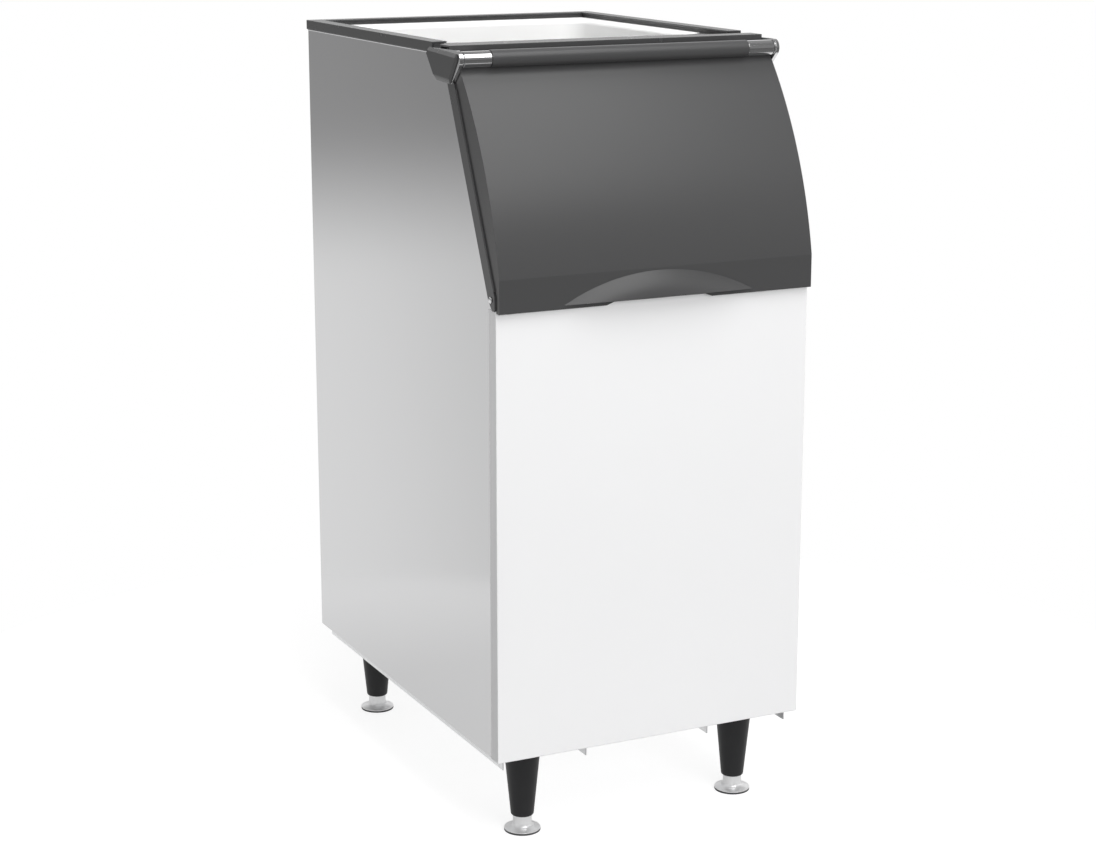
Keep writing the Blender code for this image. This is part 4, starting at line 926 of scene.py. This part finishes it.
def door_hollow():
    """The space inside the shell, open at the rear and the bottom."""
    inner = face_arc(DOOR_WALL)
    top = inner[-1]
    rear = door_rear_top()
    outline = [(-BAND_STANDOFF + DOOR_WALL, DOOR_BOTTOM - OVERRUN)] + inner[:-1] + [
        (top[0], top[1] - DOOR_WALL),
        (rear[0], rear[1] - DOOR_WALL - FIT),
        (rear[0] + OVERRUN, rear[1] - DOOR_WALL - FIT),
        (OVERRUN, DOOR_BOTTOM - OVERRUN)]
    half = DOOR_HALF - DOOR_WALL
    hollow = prism(outline, -half, half)
    round_the_roll = rod(ROLL_RADIUS + DOOR_WALL, -DOOR_HALF, DOOR_HALF, HINGE_DEPTH, HINGE_Z)
    return cut(hollow, round_the_roll)


def grip_dome(inset, reach_cut, back):
    """A dome about the grip's horizontal axis, which bulges forwards from the band's face."""
    base = GRIP_ARC * math.cos(GRIP_EDGE_ANGLE)
    crown = []
    for i in range(DOME_STEPS + 1):
        angle = GRIP_EDGE_ANGLE * i / DOME_STEPS
        across = GRIP_RADIUS - GRIP_ARC * (math.sin(GRIP_EDGE_ANGLE) - math.sin(angle))
        crown.append((across - inset, GRIP_ARC * math.cos(angle) - base - reach_cut))
    profile = [(0, crown[0][1])] + crown + [(crown[-1][0], -back), (0, -back)]
    return turned(profile, (0, FRONT_Y - BAND_STANDOFF, GRIP_Z), ALONG_Y, DOME_TURNS)


def grip_keep():
    """The space above the grip's lip, which slopes up towards the front."""
    front = -BAND_STANDOFF - GRIP_REACH - OVERRUN
    lip = DOOR_BOTTOM + GRIP_RISE
    climb = GRIP_LIP_RISE / GRIP_REACH
    outline = [
        (OVERRUN, lip - climb * (OVERRUN + BAND_STANDOFF)),
        (OVERRUN, FOLD_Z + OVERRUN),
        (front, FOLD_Z + OVERRUN),
        (front, lip - climb * (front + BAND_STANDOFF))]
    return prism(outline, -GRIP_HALF_WIDTH - OVERRUN, GRIP_HALF_WIDTH + OVERRUN)


def grip_hollow():
    """The space behind the grip's skin, open below, which leaves the band's lower edge whole."""
    hollow = grip_dome(GRIP_HOLLOW_INSET, DOOR_WALL, BAND_STANDOFF)
    half = GRIP_HALF_WIDTH + OVERRUN
    front = -BAND_STANDOFF - GRIP_REACH - OVERRUN
    above = block((-half, front, DOOR_BOTTOM + NOTCH_HEIGHT), (half, OVERRUN, FOLD_Z + OVERRUN))
    return combine(hollow, above, "INTERSECT")


def door_neck():
    """Joins the shell's top to the roll, and reaches in under the sleeves at both ends."""
    axis = Vector((HINGE_DEPTH, HINGE_Z))
    top = Vector((HINGE_DEPTH + FACE_TOP_BEHIND, HINGE_Z - FACE_TOP_BELOW))
    rear = Vector(door_rear_top())
    root = [
        tuple(top + Vector((-DOOR_WALL / 2, -DOOR_WALL))),
        tuple(rear + Vector((-DOOR_WALL, -DOOR_WALL / 2)))]
    low_front_share = (0.50, -0.75)
    top_share = (0.75, 0.60)
    shoulder_share = -0.30
    low_front = tuple(axis + ROLL_RADIUS * Vector(low_front_share))
    shoulder_top = tuple(axis + Vector((ROLL_RADIUS + DOOR_WALL, ROLL_RADIUS * shoulder_share)))
    shoulder_half = DOOR_HALF - DOOR_WALL
    neck = prism(root + [shoulder_top, low_front], -shoulder_half, shoulder_half)
    for low, high in ((-HALF_WIDTH, -ROLL_HALF), (ROLL_HALF, HALF_WIDTH)):
        cut(neck, rod(SLEEVE_RADIUS + RUN, low, high, HINGE_DEPTH, HINGE_Z))
    web = root + [
        tuple(axis + Vector((ROLL_RADIUS + DOOR_WALL, 0))),
        tuple(axis + ROLL_RADIUS * Vector(top_share)),
        low_front]
    return add(neck, prism(web, -ROLL_HALF, ROLL_HALF))


def finger_notch():
    ramp = NOTCH_HALF_WIDTH + NOTCH_RAMP
    top = DOOR_BOTTOM + NOTCH_HEIGHT
    below = DOOR_BOTTOM - OVERRUN
    outline = [
        (-ramp, DOOR_BOTTOM), (-ramp, below), (ramp, below),
        (ramp, DOOR_BOTTOM), (NOTCH_HALF_WIDTH, top), (-NOTCH_HALF_WIDTH, top)]
    return prism(outline, -OVERRUN, BAND_STANDOFF + OVERRUN, ALONG_Y)


def door_shell():
    body = door_block()
    add(body, combine(grip_dome(0, 0, DOOR_WALL / 2), grip_keep(), "INTERSECT"))
    roll = rod(ROLL_RADIUS, -ROLL_HALF, ROLL_HALF, HINGE_DEPTH, HINGE_Z, ROLL_EDGE)
    add(body, door_neck(), roll)
    cut(body, door_hollow(), grip_hollow(), finger_notch())
    cut(body, rod(BUSH_RADIUS + FIT, -HALF_WIDTH, HALF_WIDTH, HINGE_DEPTH, HINGE_Z))
    stands_for(clean(body), "door_shell", DOOR_SMOOTH_ANGLE)


def door_gasket():
    """A soft ring whose bulging sides show as a thin ridge between the cheek and the frame."""
    low = DOOR_PANEL_FOOT_S + FIT
    high = (door_rear_top()[1] - SEAT_Z) / math.cos(SLOPE_ANGLE) - GASKET_INSET
    bulge_high = (GASKET_BULGE_TOP - SEAT_Z) / math.cos(SLOPE_ANGLE)
    slim = DOOR_HALF
    wide = DOOR_HALF + GASKET_BULGE
    outline = [
        (-wide, low), (wide, low), (wide, bulge_high), (slim, bulge_high), (slim, high),
        (-slim, high), (-slim, bulge_high), (-wide, bulge_high)]
    ring = prism(outline, -GASKET_THICKNESS - FIT, -FIT, ON_SLOPE, SEAT_Z)
    across = DOOR_HALF - GASKET_WIDTH
    low += GASKET_WIDTH
    high -= GASKET_WIDTH
    hole = [(-across, low), (across, low), (across, high), (-across, high)]
    cut(ring, prism(hole, -OVERRUN, OVERRUN, ON_SLOPE, SEAT_Z))
    round_edges(clean(ring), GASKET_ROUND, EASE_STEPS, sharper_than(GASKET_ANGLE))
    stands_for(ring, "door_gasket")


# Legs, feet and drain

def leg(end, side, sign):
    bore = STEM_RADIUS + FIT
    bore_top = LEG_FOOT_Z + LEG_BORE_DEPTH
    corners = [
        (0, LEG_TOP_Z), (LEG_TOP_RADIUS, LEG_TOP_Z), (LEG_FOOT_RADIUS, LEG_FOOT_Z),
        (bore, LEG_FOOT_Z), (bore, bore_top), (0, bore_top)]
    profile = rounded(corners, [0, LEG_TOP_ROUND, LEG_FOOT_ROUND, 0, 0, 0], LEG_STEPS)
    place = (sign * LEG_X, FRONT_Y + LEG_DEPTHS[end], 0)
    stands_for(turned(profile, place), "leg_" + end + "_" + side)


def foot(end, side, sign):
    rim_top = DISC_BOTTOM + DISC_RIM
    fillet_foot = rim_top + DISC_CROWN
    fillet = arc(
        (STEM_RADIUS + DISC_FILLET, fillet_foot + DISC_FILLET), DISC_FILLET,
        math.pi, math.pi * 1.5, FILLET_STEPS)
    profile = [(0, STEM_LENGTH), (STEM_RADIUS, STEM_LENGTH)] + fillet
    profile += [(DISC_RADIUS, rim_top), (DISC_RADIUS, DISC_BOTTOM), (0, DISC_BOTTOM)]
    radii = [0, STEM_EDGE] + [0] * len(fillet) + DISC_EDGES + [0]
    place = (sign * LEG_X, FRONT_Y + LEG_DEPTHS[end], 0)
    stands_for(turned(rounded(profile, radii, RING_STEPS), place), "foot_" + end + "_" + side)
    disc = [(0, PAD_THICKNESS), (PAD_RADIUS, PAD_THICKNESS), (PAD_RADIUS, 0), (0, 0)]
    pad = turned(rounded(disc, [0] + PAD_EDGES + [0], RING_STEPS), place)
    stands_for(pad, "pad_" + end + "_" + side)


def drain():
    place = (0, FRONT_Y + DRAIN_DEPTH, 0)
    flange_low = BASIN_FLOOR + FIT
    flange_top = flange_low + DRAIN_FLANGE
    ring = [
        (DRAIN_FLANGE_RADIUS, flange_top), (DRAIN_FLANGE_RADIUS, flange_low),
        (DRAIN_RADIUS, flange_low), (DRAIN_RADIUS, DRAIN_TAIL_Z), (DRAIN_BORE, DRAIN_TAIL_Z),
        (DRAIN_BORE, flange_top)]
    fitting = turned(rounded(ring, DRAIN_EDGES, RING_STEPS), place, closed=True)
    stands_for(fitting, "drain_fitting")
    low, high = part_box("drain_gasket")
    radius = high.x
    bore = DRAIN_RADIUS + FIT
    corners = [(radius, high.z), (radius, low.z), (bore, low.z), (bore, high.z)]
    washer = rounded(corners, [WASHER_EDGE] * len(corners), EDGE_STEPS)
    stands_for(turned(washer, place, closed=True), "drain_gasket")
    for node in ("drain_nut", "drain_strainer"):
        stands_for(eased_copy(node), node)


# Pieces whose solid already has its form, with their edges eased

def side_panel(side, sign):
    """The sheet with a fine bead under the trim."""
    panel = eased_copy("side_panel_" + side)
    skirt_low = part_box("trim_" + side)[0].z
    centre = (sign * HALF_WIDTH, skirt_low - BEAD_RADIUS - FIT)
    bead = arc(centre, BEAD_RADIUS, 0, math.tau, BEAD_STEPS)[:-1]
    rear = CABINET_DEPTH - SHEET
    add(panel, prism(bead, -rear, -TRIM_FRONT_DEPTH, ALONG_Y))
    stands_for(panel, "side_panel_" + side)


def sheets_and_profiles():
    for node in ("back_panel", "bottom_panel"):
        stands_for(eased_copy(node), node)
    for side, sign in SIDES:
        side_panel(side, sign)
    for node in (
            "base_rail_left", "base_rail_right", "trim_left", "trim_right", "trim_back",
            "front_rail", "frame_strip_left", "frame_strip_right", "sill_strip", "front_deck",
            "trim_seal", "foam_insulation", "door_panel"):
        stands_for(eased_copy(node), node)


# Floor, lights and camera

DIRECT_RAYS = ("Is Camera Ray", "Is Transmission Ray")
MIRRORED_RAYS = ("Is Glossy Ray",)
FLOOR_RADIUS = 1.3
FLOOR_COLOUR = 0.35
FLOOR_ROUGHNESS = 0.9
FLOOR_GLOW = 0.80
# Painted reflection: the glow that metal sees on the floor, on top of its lit colour, by its place
# from the front to the rear; dim in front, brighter towards the rear
PAINTED_FLOOR_REFLECTION = ((-1.0, 0.14), (-0.55, 0.14), (-0.15, 0.60), (0.50, 0.62), (1.0, 0.76))


def ray_share(nodes, links, rays):
    """1 for rays of the named kinds, else 0."""
    path = nodes.new("ShaderNodeLightPath")
    total = path.outputs[rays[0]]
    for ray in rays[1:]:
        total = math_node(nodes, links, "MAXIMUM", total, path.outputs[ray])
    return total


def levels_along(nodes, links, place, levels):
    """A grey ramp over a coordinate from -1 to 1, with its level at given places."""
    grey = nodes.new("ShaderNodeValToRGB")
    ramp = grey.color_ramp.elements
    while len(ramp) < len(levels):
        ramp.new(0.5)
    for element, (at, level) in zip(ramp, levels):
        element.position = (at + 1) / 2
        element.color = (level, level, level, 1.0)
    links.new(mapped(nodes, links, place, (-1.0, 1.0)), grey.inputs["Fac"])
    return grey.outputs["Color"]


def floor():
    rim = arc((0, 0), FLOOR_RADIUS, 0, math.tau, FLOOR_STEPS)[:-1]
    mesh = bpy.data.meshes.new("floor")
    mesh.from_pydata([(x, y, 0) for x, y in rim], [], [list(range(FLOOR_STEPS))])
    ground = bpy.data.objects.new("floor", mesh)
    bpy.context.scene.collection.objects.link(ground)
    material = bpy.data.materials.new("floor")
    material.use_nodes = True
    nodes, links = material.node_tree.nodes, material.node_tree.links
    shader = nodes["Principled BSDF"]
    shader.inputs["Base Color"].default_value = (FLOOR_COLOUR,) * 3 + (1.0,)
    shader.inputs["Roughness"].default_value = FLOOR_ROUGHNESS
    shader.inputs["Specular IOR Level"].default_value = 0.0
    shader.inputs["Emission Color"].default_value = (1, 1, 1, 1)
    place = nodes.new("ShaderNodeTexCoord")
    apart = nodes.new("ShaderNodeSeparateXYZ")
    links.new(place.outputs["Object"], apart.inputs["Vector"])
    # The floor glows for mirrored rays at these levels, a painted reflection in polished metal that
    # the lamps don't make
    mirrored = levels_along(nodes, links, apart.outputs["Y"], PAINTED_FLOOR_REFLECTION)
    seen = nodes.new("ShaderNodeMix")
    seen.inputs["B"].default_value = FLOOR_GLOW
    links.new(ray_share(nodes, links, DIRECT_RAYS), seen.inputs["Factor"])
    links.new(mirrored, seen.inputs["A"])
    shown = ray_share(nodes, links, DIRECT_RAYS + MIRRORED_RAYS)
    glow = math_node(nodes, links, "MULTIPLY", shown, seen.outputs["Result"])
    links.new(glow, shader.inputs["Emission Strength"])
    mesh.materials.append(material)


# Brightness of the studio's walls by the sine of the elevation
REAR_WALLS = ((-1.0, 1.0), (-0.165, 1.0), (-0.115, 0.38), (0.09, 0.38), (0.14, 1.0), (0.50, 1.0),
              (0.58, 0.32), (1.0, 0.32))
FRONT_WALLS = ((-1.0, 0.16), (-0.10, 0.12), (0.05, 0.23), (0.50, 0.20), (1.0, 0.20))
FRONT_TO_REAR = (-0.35, 0.15)     # where the front walls fade into the rear ones
LEFT_WALL = 0.78                  # brightness of the left end of the walls
LEFT_FADE = (-0.42, -0.36)        # where the left end begins
FLANK = (0.55, 0.63)              # how far aside polished metal sees the rear walls all round


def studio():
    """A white background for the camera, and plain walls of light and shade for the rest."""
    world = bpy.data.worlds.new("studio")
    bpy.context.scene.world = world
    world.use_nodes = True
    nodes, links = world.node_tree.nodes, world.node_tree.links
    nodes.clear()
    place = nodes.new("ShaderNodeTexCoord")
    apart = nodes.new("ShaderNodeSeparateXYZ")
    links.new(place.outputs["Generated"], apart.inputs["Vector"])
    rear = levels_along(nodes, links, apart.outputs["Z"], REAR_WALLS)
    front = levels_along(nodes, links, apart.outputs["Z"], FRONT_WALLS)
    side = mapped(nodes, links, apart.outputs["Y"], FRONT_TO_REAR)
    sideways = math_node(nodes, links, "ABSOLUTE", apart.outputs["X"])
    flank = mapped(nodes, links, sideways, FLANK)
    polished = ray_share(nodes, links, MIRRORED_RAYS)
    mirrored = math_node(nodes, links, "MULTIPLY", polished, flank)
    both = nodes.new("ShaderNodeMix")
    both.data_type = "RGBA"
    links.new(math_node(nodes, links, "MAXIMUM", side, mirrored), both.inputs["Factor"])
    links.new(front, both.inputs["A"])
    links.new(rear, both.inputs["B"])
    lit = nodes.new("ShaderNodeBackground")
    links.new(both.outputs["Result"], lit.inputs["Color"])
    left = mapped(nodes, links, apart.outputs["X"], LEFT_FADE, (LEFT_WALL, 1.0))
    links.new(left, lit.inputs["Strength"])
    white = nodes.new("ShaderNodeBackground")
    white.inputs["Strength"].default_value = 1.0
    white.inputs["Color"].default_value = (1, 1, 1, 1)
    mixer = nodes.new("ShaderNodeMixShader")
    links.new(ray_share(nodes, links, DIRECT_RAYS), mixer.inputs["Fac"])
    links.new(lit.outputs[0], mixer.inputs[1])
    links.new(white.outputs[0], mixer.inputs[2])
    output = nodes.new("ShaderNodeOutputWorld")
    links.new(mixer.outputs[0], output.inputs["Surface"])


# Place, turn in degrees, size, power, and whether polished surfaces show the lamp
SOFTBOXES = {
    "key": ((0.46, -2.70, 3.2), (0, 0, 18.6), (2.4, 3.75), 80, True),
    "fill": ((-0.5, -5.0, 1.6), (85, 0, -6), (4.0, 2.6), 149, False),
    "top": ((0.0, 0.0, 2.6), (0, 0, 0), (1.2, 0.7), 20, False),
}


def softbox(name, place, turn, size, power, mirrored):
    lamp = bpy.data.lights.new(name, "AREA")
    lamp.shape = "RECTANGLE"
    lamp.size, lamp.size_y = size
    lamp.energy = power
    holder = bpy.data.objects.new(name, lamp)
    holder.location = place
    holder.rotation_euler = [math.radians(angle) for angle in turn]
    holder.visible_glossy = mirrored
    bpy.context.scene.collection.objects.link(holder)


CAMERA_PLACE = (-1.74898, -3.57098, 1.55576)
CAMERA_DROP = 13.527              # degrees below the horizon
CAMERA_TURN = -26.046             # degrees from the view along +Y
LENS_LENGTH = 77.44
LENS_SENSOR = 36.0


def camera():
    lens = bpy.data.cameras.new("camera")
    lens.lens = LENS_LENGTH
    lens.sensor_width = LENS_SENSOR
    eye = bpy.data.objects.new("camera", lens)
    eye.location = CAMERA_PLACE
    eye.rotation_euler = [math.radians(angle) for angle in (90 - CAMERA_DROP, 0, CAMERA_TURN)]
    bpy.context.scene.collection.objects.link(eye)
    bpy.context.scene.camera = eye


# Build

make_materials()
front_panel()
liner()
door_shell()
door_gasket()
hinge_rod()
drain()
sheets_and_profiles()
for side, sign in SIDES:
    hinge(side, sign)
    frame_screw(side, sign)
    for level in ("lower", "upper"):
        back_screw(side, level)
    for end in LEG_DEPTHS:
        leg(end, side, sign)
        foot(end, side, sign)
floor()
studio()
for name, settings in SOFTBOXES.items():
    softbox(name, *settings)
camera()
bpy.context.scene.view_settings.view_transform = "Standard"
